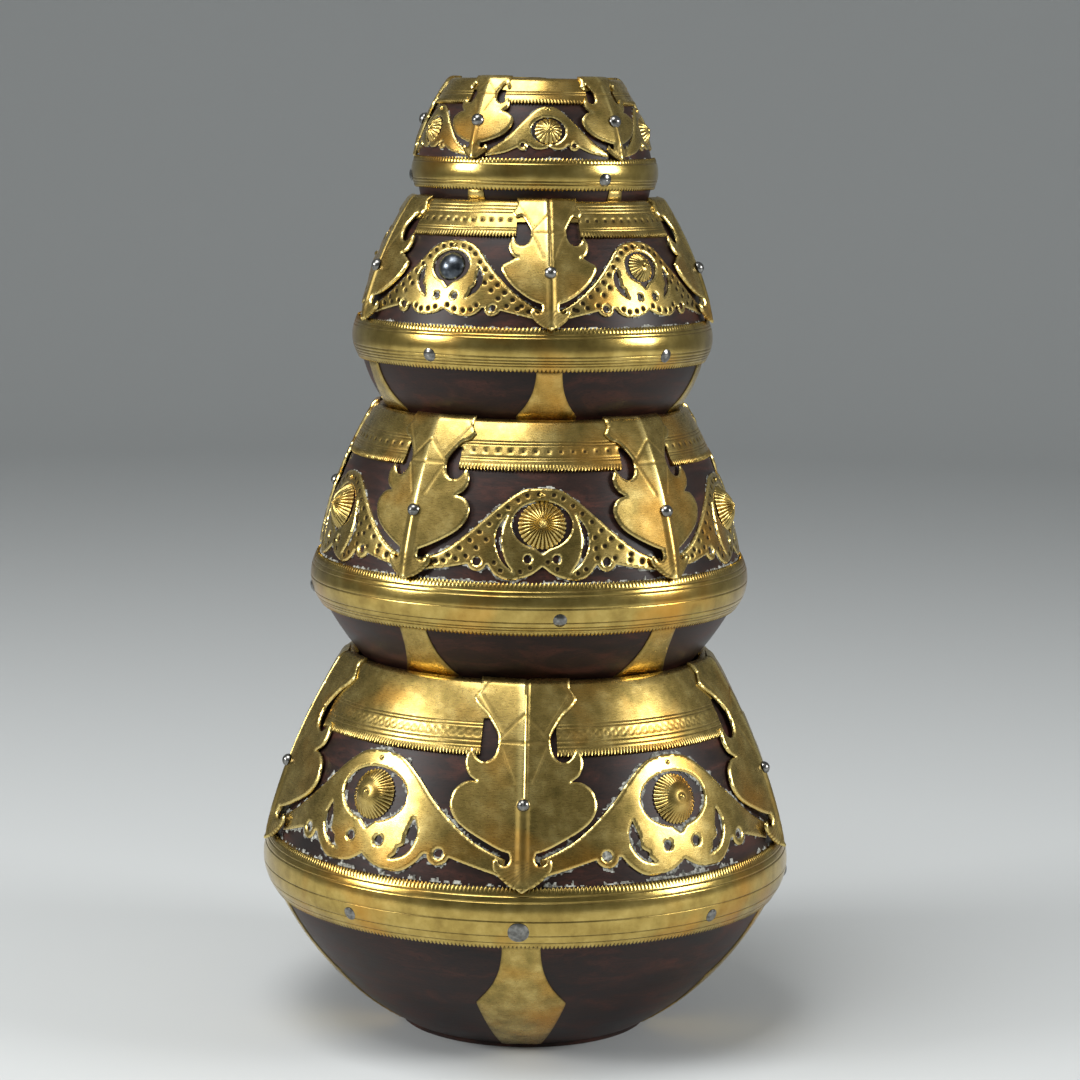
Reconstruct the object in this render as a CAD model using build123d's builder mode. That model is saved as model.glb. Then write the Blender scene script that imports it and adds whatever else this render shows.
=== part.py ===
"""A stack of four graduated turned-wood boxes, bound in sheet brass.

Each box is a hollow wooden bowl with a wide shoulder. A brass collar is rolled over its rim, a brass belt
runs round its shoulder, five ridged leaf straps run from rim to belt, a pierced arch with a fluted boss
fills each bay between them, and five foot straps run from the belt down to the foot. Iron tacks and small
brass pins hold the brass on. Each box stands with its rounded underside in the mouth of the next larger
box, as its lid.

Frame: millimetres, +Z up, origin at the middle of the lowest foot. The front of the stack faces -Y.
Heights on a box are measured from its shoulder line, the plane where its belt is widest.
"""

import os
from dataclasses import dataclass
from math import atan2, cos, degrees, hypot, radians, sin, sqrt

from build123d import *

os.makedirs("parts", exist_ok=True)

# ---------------------------------------------------------------------------------------------
# Sizes that every box shares: stock thickness, fasteners and clearances
# ---------------------------------------------------------------------------------------------
SHEET = 1.0  # brass sheet of collars, leaves, arches and foot straps
BELT_SHEET = 1.3  # brass of the belts
LAY = 0.02  # a brass sheet lies this far off the wood it is pinned to
LEAF_LIFT = 0.06  # a leaf passes this far above collar and arches
STRAP_SHEET = 0.7  # brass of the foot straps
STRAP_CLEAR = 0.5  # a foot strap starts this far below the belt
SEAT_GAP = 0.3  # between a box's foot straps and the rim that carries them
TACK_SPARE = 1.5  # a tack stops this far short of the hollow
LIP_DEPTH = 6.0  # the collar reaches this far down inside the mouth
BAYS = 5  # leaves, arches and foot straps on each box
BAY = 360.0 / BAYS
HALVINGS = 60  # steps of the search for the shoulder's bend

SHANK_FIT = 0.05  # radial clearance of a tack in the hole of a brass sheet
LEAF_TACK_HEAD, LEAF_TACK_DOME, LEAF_TACK_SHANK = 2.5, 2.1, 0.8
BELT_TACK_HEAD, BELT_TACK_DOME, BELT_TACK_SHANK = 2.6, 0.9, 0.9
LAP_TACK_HEAD, LAP_TACK_DOME = 4.0, 1.1
PIN_HEAD, PIN_DOME, PIN_SHANK = 1.1, 0.7, 0.45

# ---------------------------------------------------------------------------------------------
# The pattern of the brass work, drawn for the first box of the list and scaled to the others.
# Heights are measured from the shoulder line, depths from the rim's crest, both at full size.
# ---------------------------------------------------------------------------------------------
BELT_TOP = 7.8
SHOULDER_INSET = 3.3  # the wood at the belt's upper edge, in from its widest
UPPER_BULGE = 3.2  # sagitta of the wall between belt and rim
ROLL_START, ROLL_TOP, ROLL_END = 30.0, 90.0, 180.0  # degrees round the roll: from the wall into the mouth
FOOT_HEIGHT = 2.2  # of the plain turned foot
FOOT_STEP = 1.6  # the wall stands out this far beyond the foot

# leaf strap: half widths and heights; a drop is measured down from the point before it
FOLD = 15.0  # degrees each half of a leaf leans back from its ridge
LEAF_TOP_HALF = 16.4
HEAD_HALF, HEAD_DEPTH = 19.4, 6.0
CHEEK_HALF = 12.8  # halfway down from head to neck
NECK_HALF, NECK_HEIGHT = 10.0, 60.0
NOTCH_HALF, NOTCH_DROP = 14.2, 8.4
HORN_HALF, HORN_RISE = 19.8, 4.4
HORN_BACK_HALF, HORN_BACK_DROP = 21.7, 5.4
WAIST_HALF, WAIST_DROP = 17.6, 6.0
LOBE_HALF, LOBE_DROP = 27.2, 8.8
LOBE_FOOT_HALF, LOBE_FOOT_DROP = 21.2, 8.0
STEM_HALF, STEM_HEIGHT = 4.8, 20.2
ANKLE_HALF, ANKLE_HEIGHT = 5.6, 16.4
CLAW_HALF, CLAW_HEIGHT = 10.6, 18.4
FAN_HALF, FAN_HEIGHT = 9.2, 12.0
LEAF_TIP_HEIGHT = 6.2
LEAF_BLANK_HALF = 33.0  # the sheet a leaf is cut from
CREST_SPARE = 3.0  # the cut of a leaf's outline starts this far above the crest
LEAF_TACK_HEIGHT = 37.4

# arch: what the arches of all four boxes share
EYE_RADIUS, EYE_BORE, SCROLL_BORE = 4.2, 1.9, 1.9
WINDOW_POINT_HALF = 4.2
APEX_PIN_DROP = 3.0  # the pin sits this far under the apex

# fluted boss in the arch's window
BOSS_HEIGHT = 5.2
BOSS_FLUTES = 20
FLUTE_START = 0.5  # share of the boss's radius
FLUTE_EDGE = 0.9  # side of the square bar whose corner cuts a flute

# foot strap
STRAP_TOP_HALF = 7.2
STRAP_NECK_HALF, STRAP_NECK_HEIGHT = 8.6, -26.0
STRAP_CORNER_HALF, STRAP_CORNER_HEIGHT = 17.0, -42.0
STRAP_FOOT_HALF = 7.6

BELT_TACK_HEIGHT = -8.0


@dataclass
class Arch:
    """The outline of a box's arches at the pattern's full size, as (half width, height) points."""

    apex: float  # height of the top
    shoulder: tuple  # down the upper edge
    flank: tuple
    knee: tuple
    toe: tuple  # where the upper edge ends, behind a leaf's foot
    sole: float  # height of the lower edge there
    eye: tuple  # middle of the pierced ring on a leg
    crotch: tuple  # where the lobe leaves the leg
    lobe: tuple  # lowest place of a lobe
    cusp: float  # height between the lobes
    window: tuple  # height of its middle, half width and half height
    point: float  # height of the window's pointed foot
    scroll: tuple = ()  # middle of a scroll hole
    crescent: tuple = ()  # a crescent's upper tip, outer side, lower tip and inner side


ARCHES = {
    "large": Arch(51.9, (17.6, 44.8), (29.6, 34.2), (41.2, 25.0), (55.0, 16.4), 11.4, (32.2, 18.2), (26.2, 17.6),
                  (14.8, 9.9), 14.2, (36.0, 15.2, 9.8), 23.7, (6.9, 20.0),
                  ((20.4, 30.2), (22.0, 21.6), (12.8, 14.2), (16.6, 21.2))),
    "medium": Arch(49.2, (14.0, 45.0), (24.4, 36.2), (40.6, 23.2), (55.0, 15.2), 11.0, (29.5, 16.8), (25.2, 15.8),
                   (16.6, 9.8), 14.6, (33.2, 13.7, 10.4), 20.6, (6.5, 18.0),
                   ((16.0, 38.0), (22.0, 26.0), (13.2, 14.0), (19.4, 25.6))),
    "small": Arch(54.4, (14.4, 50.2), (27.0, 38.0), (40.0, 25.8), (55.0, 16.4), 11.4, (28.9, 18.2), (22.6, 19.4),
                  (12.8, 13.6), 17.4, (40.3, 11.6, 8.6), 29.0, (5.7, 24.2),
                  ((17.6, 40.2), (20.4, 31.6), (13.0, 22.0), (16.0, 31.2))),
    "top": Arch(50.3, (10.4, 47.0), (23.4, 35.0), (37.6, 22.0), (51.0, 12.4), 9.6, (21.6, 19.2), (16.0, 19.6),
                (7.8, 15.4), 17.0, (30.4, 14.4, 11.2), 18.9),
}


@dataclass
class Tier:
    """The driving sizes of one box of the stack."""

    name: str
    belt_radius: float  # over the belt
    rise: float  # shoulder line up to the rim's crest
    drop: float  # shoulder line down to the underside of the foot
    rim_radius: float  # centre line of the rolled rim
    roll: float  # radius of the roll, over the brass
    foot_radius: float  # where the wall meets the foot
    belly: float  # sagitta of the wall between belt and foot
    wall: float  # thickness of the wood
    floor: float  # thickness of the wood under the hollow
    turn: float  # degrees the first leaf is turned from the front
    opening: float  # degrees the bays at the front are opened wider, at the cost of those at the back
    belt_drop: float  # shoulder line down to the belt's lower edge
    belt_tuck: float  # the wood at the belt's lower edge, in from its widest
    collar_clear: float  # an arch's apex up to the collar's lower edge
    gap_half: float  # half width of the collar's gap behind a leaf's neck
    boss: float  # radius of a boss
    belt_tacks: tuple  # degrees from the front
    lap_tacks: tuple = ()  # the same, of larger tacks where the belt's ends lap
    iron_boss: bool = False  # one boss is a plain iron dome


TIERS = [
    Tier("large", 105.0, 79.9, 69.6, 70.4, 3.0, 51.0, 5.4, 7.0, 9.0, -0.4, 3.0, 15.0, 4.8, 1.3, 11.4,
         9.7, (-39.0, 43.0, 86.0, 129.0, 172.0, 215.0, 258.0), (-1.0,)),
    Tier("medium", 86.6, 64.9, 56.9, 59.8, 2.8, 42.0, 3.6, 6.4, 8.0, -32.4, 0.0, 12.8, 4.2, 5.6, 11.8,
         9.0, (8.0, 98.0, 188.0, 278.0)),
    Tier("small", 70.8, 51.8, 47.1, 47.4, 2.6, 34.4, 6.0, 5.6, 7.0, 5.8, 0.0, 10.4, 2.8, 1.2, 11.4,
         5.6, (-33.0, 46.0, 119.0, 191.0, 263.0), iron_boss=True),
    Tier("top", 48.2, 33.8, 32.4, 31.7, 2.4, 23.4, 5.2, 4.8, 6.0, -29.2, 0.0, 7.6, 1.6, 0.6, 7.0,
         5.1, (34.0, 154.0, 274.0)),
]


# ---------------------------------------------------------------------------------------------
# Arcs of the wall's section, as (radius, height) points
# ---------------------------------------------------------------------------------------------
class Bend:
    """An arc of a section, bulging away from the axis, given by its two ends and its sagitta."""

    def __init__(self, low, high, bulge):
        chord = hypot(high[0] - low[0], high[1] - low[1])
        self.radius = chord**2 / (8 * bulge) + bulge / 2
        across = ((high[1] - low[1]) / chord, -(high[0] - low[0]) / chord)
        middle = ((low[0] + high[0]) / 2, (low[1] + high[1]) / 2)
        back = self.radius - bulge
        self.centre = (middle[0] - across[0] * back, middle[1] - across[1] * back)
        self.low_angle = self.angle_of(low)
        self.high_angle = self.angle_of(high)

    def angle_of(self, point):
        return atan2(point[1] - self.centre[1], point[0] - self.centre[0])

    def angle_at(self, height):
        """The arc's angle where it passes a height."""
        rise = height - self.centre[1]
        return atan2(rise, sqrt(self.radius**2 - rise**2))

    def point(self, angle, out=0.0):
        reach = self.radius + out
        return (self.centre[0] + reach * cos(angle), self.centre[1] + reach * sin(angle))

    def at(self, height, out=0.0):
        """The point of the arc at a height, moved off it by out along its normal."""
        return self.point(self.angle_at(height), out)

    def three(self, out=0.0, low=None, high=None):
        """Start, middle and end of the arc, or of its stretch between two heights, moved off it by out."""
        start = self.low_angle if low is None else self.angle_at(low)
        end = self.high_angle if high is None else self.angle_at(high)
        return [self.point(a, out) for a in (start, (start + end) / 2, end)]


class Wall:
    """Where the wood of a box has its surfaces, in the stack's own heights."""

    def __init__(self, tier, shoulder_height):
        self.tier, self.line, self.arch = tier, shoulder_height, ARCHES[tier.name]
        self.scale = tier.belt_radius / TIERS[0].belt_radius
        k, z = self.scale, shoulder_height
        widest = tier.belt_radius - BELT_SHEET
        self.crest = z + tier.rise
        self.rim = (tier.rim_radius, self.crest - tier.roll)
        self.wood_roll = tier.roll - SHEET
        start = radians(ROLL_START)
        rim_start = (self.rim[0] + self.wood_roll * cos(start), self.rim[1] + self.wood_roll * sin(start))
        shoulder_foot = (widest - tier.belt_tuck, z - tier.belt_drop)
        shoulder_top = (widest - k * SHOULDER_INSET, z + k * BELT_TOP)
        self.under = z - tier.drop
        foot_top = (tier.foot_radius, self.under + k * FOOT_HEIGHT)
        self.upper = Bend(shoulder_top, rim_start, k * UPPER_BULGE)
        self.lower = Bend(foot_top, shoulder_foot, tier.belly)
        self.shoulder = bend_to(shoulder_foot, shoulder_top, widest)

    def up(self, pattern_height):
        """A height on the pattern, as a height on this box."""
        return self.line + self.scale * pattern_height

    def down(self, pattern_depth):
        """A depth below the crest on the pattern, as a height on this box."""
        return self.crest - self.scale * pattern_depth

    def roll_point(self, angle, out=0.0):
        """A point of the rim's roll; angle 0 points outwards, 90 up and 180 into the mouth."""
        reach = self.wood_roll + out
        return (self.rim[0] + reach * cos(radians(angle)), self.rim[1] + reach * sin(radians(angle)))


def bend_to(foot, top, widest):
    """The bend between two points whose widest place has a given radius."""
    low, high = 0.0, hypot(top[0] - foot[0], top[1] - foot[1]) / 2
    for _ in range(HALVINGS):
        middle = (low + high) / 2
        bend = Bend(foot, top, middle)
        low, high = (middle, high) if bend.centre[0] + bend.radius < widest else (low, middle)
    return bend


def stacked():
    """The four walls, each standing in the mouth of the one before, its straps on the rolled rim."""
    walls = []
    for tier in TIERS:
        if not walls:
            walls.append(Wall(tier, tier.drop))
            continue
        below = walls[-1]
        loose = Wall(tier, 0.0)
        apart = loose.lower.radius + STRAP_SHEET + SEAT_GAP + below.tier.roll
        across = below.rim[0] - loose.lower.centre[0]
        walls.append(Wall(tier, below.rim[1] + sqrt(apart**2 - across**2) - loose.lower.centre[1]))
    return walls


# ---------------------------------------------------------------------------------------------
# Planes and small helpers
# ---------------------------------------------------------------------------------------------
SECTION = Plane(origin=(0, 0, 0), x_dir=(0, -1, 0), z_dir=(-1, 0, 0))  # x is radius, y is height
FRONT = Plane.XZ  # x is across the front, y is height, and it faces -Y


def outwards(wall, bend, height, out=0.0, across=0.0):
    """A plane on the wall at a height, facing out along the wall's normal, turned across degrees."""
    angle = bend.angle_at(height)
    radius, level = bend.point(angle, out)
    turn = radians(across - 90.0)
    normal = (cos(angle) * cos(turn), cos(angle) * sin(turn), sin(angle))
    side = (-sin(turn), cos(turn), 0)
    return Plane(origin=(radius * cos(turn), radius * sin(turn), level), x_dir=side, z_dir=normal)


def opened(wall, even_turns):
    """Evenly spaced turns moved apart at the front, as the bays of a box made by hand are."""
    return [wall.tier.turn + turn + wall.tier.opening * sin(radians(turn)) for turn in even_turns]


def leaf_turns(wall):
    return opened(wall, [BAY * k for k in range(BAYS)])


def arch_turns(wall):
    return opened(wall, [BAY * (k + 0.5) for k in range(BAYS)])


def cut_from_front(wall):
    """How far a front outline is extruded to pass through a whole wall."""
    return 2 * wall.tier.belt_radius


def spun(shape, turns):
    """Copies of a shape made at the front, turned about the axis."""
    with BuildPart() as ring:
        with Locations(*[Rotation(0, 0, turn) for turn in turns]):
            add(shape)
    return ring.part


def write(shape, name):
    shape.label = name
    export_step(shape, f"parts/{name}.step")


def tack(head, dome, shank, length):
    """A domed tack along +Z, its head standing on z = 0."""
    with BuildPart() as nail:
        with BuildSketch(Plane.XZ):
            with BuildLine():
                RadiusArc((head, 0), (0, dome), -(head**2 + dome**2) / (2 * dome))
                Polyline((0, dome), (0, -length), (shank, -length), (shank, 0), (head, 0))
            make_face()
        revolve(axis=Axis.Z)
    return nail.part


def at_planes(shape, planes):
    """Copies of a shape made at the origin, one standing on each plane."""
    with BuildPart() as group:
        with Locations(*planes):
            add(shape)
    return group.part


# ---------------------------------------------------------------------------------------------
# The pieces of a box
# ---------------------------------------------------------------------------------------------
def make_bowl(wall):
    """The turned wooden box: rounded foot, shoulder and rim, hollow inside."""
    tier, k = wall.tier, wall.scale
    foot_side = tier.foot_radius - k * FOOT_STEP
    mouth = wall.rim[0] - wall.wood_roll
    floor_top = wall.under + tier.floor
    inner_low = wall.lower.three(-tier.wall)
    inner_high = wall.upper.three(-tier.wall)
    widest = (tier.belt_radius - BELT_SHEET - tier.wall, wall.line)
    with BuildPart() as bowl:
        with BuildSketch(SECTION):
            with BuildLine():
                Polyline((0, floor_top), (0, wall.under), (foot_side, wall.under),
                         (foot_side, wall.lower.three()[0][1]), wall.lower.three()[0])
                ThreePointArc(*wall.lower.three())
                ThreePointArc(*wall.shoulder.three())
                ThreePointArc(*wall.upper.three())
                ThreePointArc(wall.upper.three()[2], wall.roll_point(ROLL_TOP), wall.roll_point(ROLL_END))
                Line(wall.roll_point(ROLL_END), (mouth, wall.rim[1] - LIP_DEPTH))
                ThreePointArc((mouth, wall.rim[1] - LIP_DEPTH), inner_high[1], widest)
                ThreePointArc(widest, inner_low[1], (inner_low[0][0], floor_top))
                Line((inner_low[0][0], floor_top), (0, floor_top))
            make_face()
        revolve(axis=Axis.Z)
    return bowl.part


def make_collar(wall):
    """The brass rim: up the outside from its lower edge, over the roll and a little way down inside.

    It is cut back behind the neck of each leaf, where the bare wood shows.
    """
    tier, foot = wall.tier, wall.up(wall.arch.apex) + wall.tier.collar_clear
    inner, outer = [wall.upper.three(out, low=foot) for out in (LAY, SHEET)]
    mouth = wall.rim[0] - wall.wood_roll
    lip = wall.rim[1] - LIP_DEPTH
    with BuildPart() as collar:
        with BuildSketch(SECTION):
            with BuildLine():
                ThreePointArc(*outer)
                ThreePointArc(outer[2], wall.roll_point(ROLL_TOP, SHEET), wall.roll_point(ROLL_END, SHEET))
                Polyline(wall.roll_point(ROLL_END, SHEET), (mouth - SHEET, lip), (mouth - LAY, lip),
                         wall.roll_point(ROLL_END, LAY))
                ThreePointArc(wall.roll_point(ROLL_END, LAY), wall.roll_point(ROLL_TOP, LAY), inner[2])
                ThreePointArc(*inner)
                Line(inner[0], outer[0])
            make_face()
        revolve(axis=Axis.Z)
        with BuildPart(mode=Mode.PRIVATE) as notch:
            with BuildSketch(FRONT):
                with Locations((0, foot)):
                    Rectangle(2 * tier.gap_half, 2 * (cheek_height(wall) - foot))
            extrude(amount=cut_from_front(wall))
        add(spun(notch.part, leaf_turns(wall)), mode=Mode.SUBTRACT)
    return collar.part


def belt_tack_planes(wall, turns):
    return [outwards(wall, wall.shoulder, wall.up(BELT_TACK_HEIGHT), BELT_SHEET, turn) for turn in turns]


def make_belt(wall):
    """The half-round brass belt over the shoulder, with a hole for each of its tacks."""
    with BuildPart() as belt:
        with BuildSketch(SECTION):
            with BuildLine():
                ThreePointArc(*wall.shoulder.three(LAY))
                ThreePointArc(*wall.shoulder.three(BELT_SHEET))
                Line(wall.shoulder.three(LAY)[0], wall.shoulder.three(BELT_SHEET)[0])
                Line(wall.shoulder.three(LAY)[2], wall.shoulder.three(BELT_SHEET)[2])
            make_face()
        revolve(axis=Axis.Z)
        with Locations(*belt_tack_planes(wall, wall.tier.belt_tacks + wall.tier.lap_tacks)):
            Cylinder(BELT_TACK_SHANK + SHANK_FIT, 3 * BELT_SHEET, mode=Mode.SUBTRACT)
    return belt.part


def make_belt_tacks(wall):
    """The iron tacks of the belt, with larger heads where its ends lap."""
    length = BELT_SHEET + wall.tier.wall - TACK_SPARE
    plain = tack(BELT_TACK_HEAD, BELT_TACK_DOME, BELT_TACK_SHANK, length)
    tacks = at_planes(plain, belt_tack_planes(wall, wall.tier.belt_tacks))
    if not wall.tier.lap_tacks:
        return tacks
    large = tack(LAP_TACK_HEAD, LAP_TACK_DOME, BELT_TACK_SHANK, length)
    with BuildPart() as both:
        add([tacks, at_planes(large, belt_tack_planes(wall, wall.tier.lap_tacks))])
    return both.part


def ridge_section(wall, out):
    """The ridge of a leaf in side view, from tip to crest, out from the wood.

    A half that leans back by FOLD and touches the round wall has its ridge further out by 1 / cos(FOLD).
    """
    stretch = 1 / cos(radians(FOLD))
    foot = wall.upper.three(out, low=wall.up(LEAF_TIP_HEIGHT) - wall.scale)
    roll = [foot[2], wall.roll_point((ROLL_START + ROLL_TOP) / 2, out), wall.roll_point(ROLL_TOP, out)]
    return [(r * stretch, z) for r, z in foot], [(r * stretch, z) for r, z in roll]


def cheek_height(wall):
    return (wall.down(HEAD_DEPTH) + wall.up(NECK_HEIGHT)) / 2


def leaf_outline(wall):
    """Half of the leaf's outline, from above the crest down to the tip."""
    k, start = wall.scale, wall.crest + CREST_SPARE
    notch_height = NECK_HEIGHT - NOTCH_DROP
    horn_height = notch_height + HORN_RISE
    back_height = horn_height - HORN_BACK_DROP
    waist_height = back_height - WAIST_DROP
    lobe_height = waist_height - LOBE_DROP

    def on(half, height):
        return (k * half, wall.up(height))

    head, neck = (k * HEAD_HALF, wall.down(HEAD_DEPTH)), on(NECK_HALF, NECK_HEIGHT)
    horn, waist, stem = on(HORN_HALF, horn_height), on(WAIST_HALF, waist_height), on(STEM_HALF, STEM_HEIGHT)
    Polyline((0, start), (k * LEAF_TOP_HALF, start), (k * LEAF_TOP_HALF, wall.crest), head)
    ThreePointArc(head, (k * CHEEK_HALF, cheek_height(wall)), neck)
    ThreePointArc(neck, on(NOTCH_HALF, notch_height), horn)
    ThreePointArc(horn, on(HORN_BACK_HALF, back_height), waist)
    Spline(waist, on(LOBE_HALF, lobe_height), on(LOBE_FOOT_HALF, lobe_height - LOBE_FOOT_DROP), stem,
           tangents=((1, 0.1), (-1, -0.3)))
    Polyline(stem, on(ANKLE_HALF, ANKLE_HEIGHT), on(CLAW_HALF, CLAW_HEIGHT), on(FAN_HALF, FAN_HEIGHT),
             on(0, LEAF_TIP_HEIGHT))


def make_leaf(wall):
    """A leaf strap: one sheet folded along a ridge, its halves flat across, cut to a horned leaf."""
    inner = ridge_section(wall, SHEET + LEAF_LIFT)
    outer = ridge_section(wall, 2 * SHEET + LEAF_LIFT)
    lean = (cos(radians(FOLD)), sin(radians(FOLD)))
    with BuildPart() as leaf:
        with BuildSketch(SECTION, mode=Mode.PRIVATE) as strip:
            with BuildLine():
                for face in (inner, outer):
                    ThreePointArc(*face[0])
                    ThreePointArc(*face[1])
                Line(inner[0][0], outer[0][0])
                Line(inner[1][2], outer[1][2])
            make_face()
        for side in (-1, 1):
            extrude(strip.sketch, amount=wall.scale * LEAF_BLANK_HALF, dir=(side * lean[0], lean[1], 0))
        with BuildSketch(FRONT):
            with BuildLine():
                leaf_outline(wall)
                mirror(about=Plane.YZ)
            make_face()
        extrude(amount=cut_from_front(wall), mode=Mode.INTERSECT)
        with Locations(leaf_tack_plane(wall)):
            Cylinder(LEAF_TACK_SHANK + SHANK_FIT, 4 * SHEET, mode=Mode.SUBTRACT)
    return leaf.part


def leaf_tack_plane(wall):
    """The plane on a leaf's ridge where its tack's head stands."""
    plane = outwards(wall, wall.upper, wall.up(LEAF_TACK_HEIGHT), 2 * SHEET + LEAF_LIFT)
    origin = (0, plane.origin.Y / cos(radians(FOLD)), plane.origin.Z)
    return Plane(origin=origin, x_dir=plane.x_dir, z_dir=plane.z_dir)


def make_leaf_tack(wall):
    """A domed tack that stands on the ridge and reaches through the hollow under it into the wood."""
    ridge = leaf_tack_plane(wall)
    wood = outwards(wall, wall.upper, wall.up(LEAF_TACK_HEIGHT))
    stand = (ridge.origin - wood.origin).dot(wood.z_dir)
    return tack(LEAF_TACK_HEAD, LEAF_TACK_DOME, LEAF_TACK_SHANK, stand + wall.tier.wall - TACK_SPARE)


def on_arch(wall, point, side=1):
    """A point of the arch's drawing, on this box."""
    return (side * wall.scale * point[0], wall.up(point[1]))


def arch_outline(wall):
    """Half of the arch's outline: over the apex to the toe, and back under the leg and the lobe."""
    arch = wall.arch
    apex, cusp = on_arch(wall, (0, arch.apex)), on_arch(wall, (0, arch.cusp))
    shoulder, flank, knee, toe = [on_arch(wall, p) for p in (arch.shoulder, arch.flank, arch.knee, arch.toe)]
    eye, crotch, lobe = [on_arch(wall, p) for p in (arch.eye, arch.crotch, arch.lobe)]
    Spline(apex, shoulder, flank, knee, toe, tangents=((1, 0), (1, -0.35)))
    Polyline(toe, on_arch(wall, (arch.toe[0], arch.sole)), eye, crotch)
    ThreePointArc(crotch, lobe, cusp)


def arch_openings(wall):
    """The openings of an arch: the boss's pointed window, the eyes, the scroll holes and the crescents."""
    arch, k = wall.arch, wall.scale
    middle, half_width, half_height = arch.window
    with BuildSketch() as openings:
        with Locations(on_arch(wall, (0, middle))):
            Ellipse(k * half_width, k * half_height)
        with BuildLine():
            Polyline(on_arch(wall, (WINDOW_POINT_HALF, middle), -1), on_arch(wall, (0, arch.point)),
                     on_arch(wall, (WINDOW_POINT_HALF, middle)), close=True)
        make_face()
        with Locations(*[on_arch(wall, arch.eye, side) for side in (-1, 1)]):
            Circle(k * EYE_BORE)
        if arch.scroll:
            with Locations(*[on_arch(wall, arch.scroll, side) for side in (-1, 1)]):
                Circle(k * SCROLL_BORE)
        if arch.crescent:
            top, out, tip, back = [on_arch(wall, p) for p in arch.crescent]
            with BuildLine():
                ThreePointArc(top, out, tip)
                ThreePointArc(tip, back, top)
            crescent = make_face()
            mirror(crescent, about=Plane.YZ)
    return openings.sketch


def make_arch(wall):
    """A pierced arch: a curved sheet that lies on the wood between collar and belt."""
    with BuildPart() as arch:
        with BuildSketch(SECTION):
            with BuildLine():
                ThreePointArc(*wall.upper.three(LAY))
                ThreePointArc(*wall.upper.three(SHEET))
                Line(wall.upper.three(LAY)[0], wall.upper.three(SHEET)[0])
                Line(wall.upper.three(LAY)[2], wall.upper.three(SHEET)[2])
            make_face()
        revolve(axis=Axis.Z)
        with BuildSketch(FRONT):
            with BuildLine():
                arch_outline(wall)
                mirror(about=Plane.YZ)
            make_face()
            with Locations(*[on_arch(wall, wall.arch.eye, side) for side in (-1, 1)]):
                Circle(wall.scale * EYE_RADIUS)
            add(arch_openings(wall), mode=Mode.SUBTRACT)
        extrude(amount=cut_from_front(wall), mode=Mode.INTERSECT)
        with Locations(outwards(wall, wall.upper, wall.up(wall.arch.apex - APEX_PIN_DROP), SHEET)):
            Cylinder(PIN_SHANK + SHANK_FIT, 4 * SHEET, mode=Mode.SUBTRACT)
    return arch.part


def make_boss(wall):
    """A fluted dome on the wood in the arch's window, pinned through its middle."""
    k = wall.scale
    radius, height = wall.tier.boss, k * BOSS_HEIGHT
    round_radius = (radius**2 + height**2) / (2 * height)
    start = FLUTE_START * radius
    depth_at_start, depth_at_edge = [round_radius - sqrt(round_radius**2 - r**2) for r in (start, radius)]
    slope = degrees(atan2(depth_at_edge - depth_at_start, radius - start))
    with BuildPart() as boss:
        with BuildSketch(Plane.XZ):
            with BuildLine():
                RadiusArc((radius, 0), (0, height), -round_radius)
                Polyline((0, height), (0, 0), (radius, 0))
            make_face()
        revolve(axis=Axis.Z)
        with BuildPart(mode=Mode.PRIVATE) as flute:
            with Locations(Location((start, 0, height - depth_at_start), (0, slope, 0))):
                Box(2 * radius, k * FLUTE_EDGE, k * FLUTE_EDGE, rotation=(45, 0, 0),
                    align=(Align.MIN, Align.CENTER, Align.CENTER))
        with PolarLocations(0, BOSS_FLUTES):
            add(flute.part, mode=Mode.SUBTRACT)
        Cylinder(PIN_SHANK + SHANK_FIT, 4 * height, mode=Mode.SUBTRACT)
    return boss.part


def make_strap(wall):
    """A foot strap: a curved sheet from belt to foot, flaring to two corners."""
    k = wall.scale
    top = wall.line - wall.tier.belt_drop - STRAP_CLEAR
    inner, outer = [wall.lower.three(out, high=top) for out in (LAY, STRAP_SHEET)]
    low = outer[0][1] - STRAP_SHEET
    with BuildPart() as strap:
        with BuildSketch(SECTION):
            with BuildLine():
                ThreePointArc(*inner)
                ThreePointArc(*outer)
                Line(inner[0], outer[0])
                Line(inner[2], outer[2])
            make_face()
        revolve(axis=Axis.Z)
        with BuildSketch(FRONT):
            with BuildLine():
                neck = (k * STRAP_NECK_HALF, wall.up(STRAP_NECK_HEIGHT))
                corner = (k * STRAP_CORNER_HALF, wall.up(STRAP_CORNER_HEIGHT))
                Line((0, top), (k * STRAP_TOP_HALF, top))
                Spline((k * STRAP_TOP_HALF, top), neck, corner, tangents=((0, -1), (0.7, -1)))
                Polyline(corner, (k * STRAP_FOOT_HALF, low), (0, low))
                mirror(about=Plane.YZ)
            make_face()
        extrude(amount=cut_from_front(wall), mode=Mode.INTERSECT)
    return strap.part


def make_iron_boss(wall):
    """The smooth iron dome that stands in for a lost fluted boss."""
    return tack(wall.tier.boss, wall.scale * BOSS_HEIGHT, PIN_SHANK, wall.tier.wall - TACK_SPARE)


def boss_planes(wall, turns):
    return [outwards(wall, wall.upper, wall.up(wall.arch.window[0]), LAY, turn) for turn in turns]


def make_pins(wall, apex_turns, boss_turns):
    """The small brass pins of the arches and bosses."""
    reach = wall.tier.wall - TACK_SPARE
    top = wall.scale * BOSS_HEIGHT + LAY
    apex_pin = tack(PIN_HEAD, PIN_DOME, PIN_SHANK, SHEET + reach)
    boss_pin = tack(PIN_HEAD, PIN_DOME, PIN_SHANK, top + reach)
    with BuildPart() as pins:
        add(at_planes(apex_pin, [outwards(wall, wall.upper, wall.up(wall.arch.apex - APEX_PIN_DROP), SHEET, turn)
                                 for turn in apex_turns]))
        add(at_planes(boss_pin, [outwards(wall, wall.upper, wall.up(wall.arch.window[0]), top, turn)
                                 for turn in boss_turns]))
    return pins.part


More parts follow.
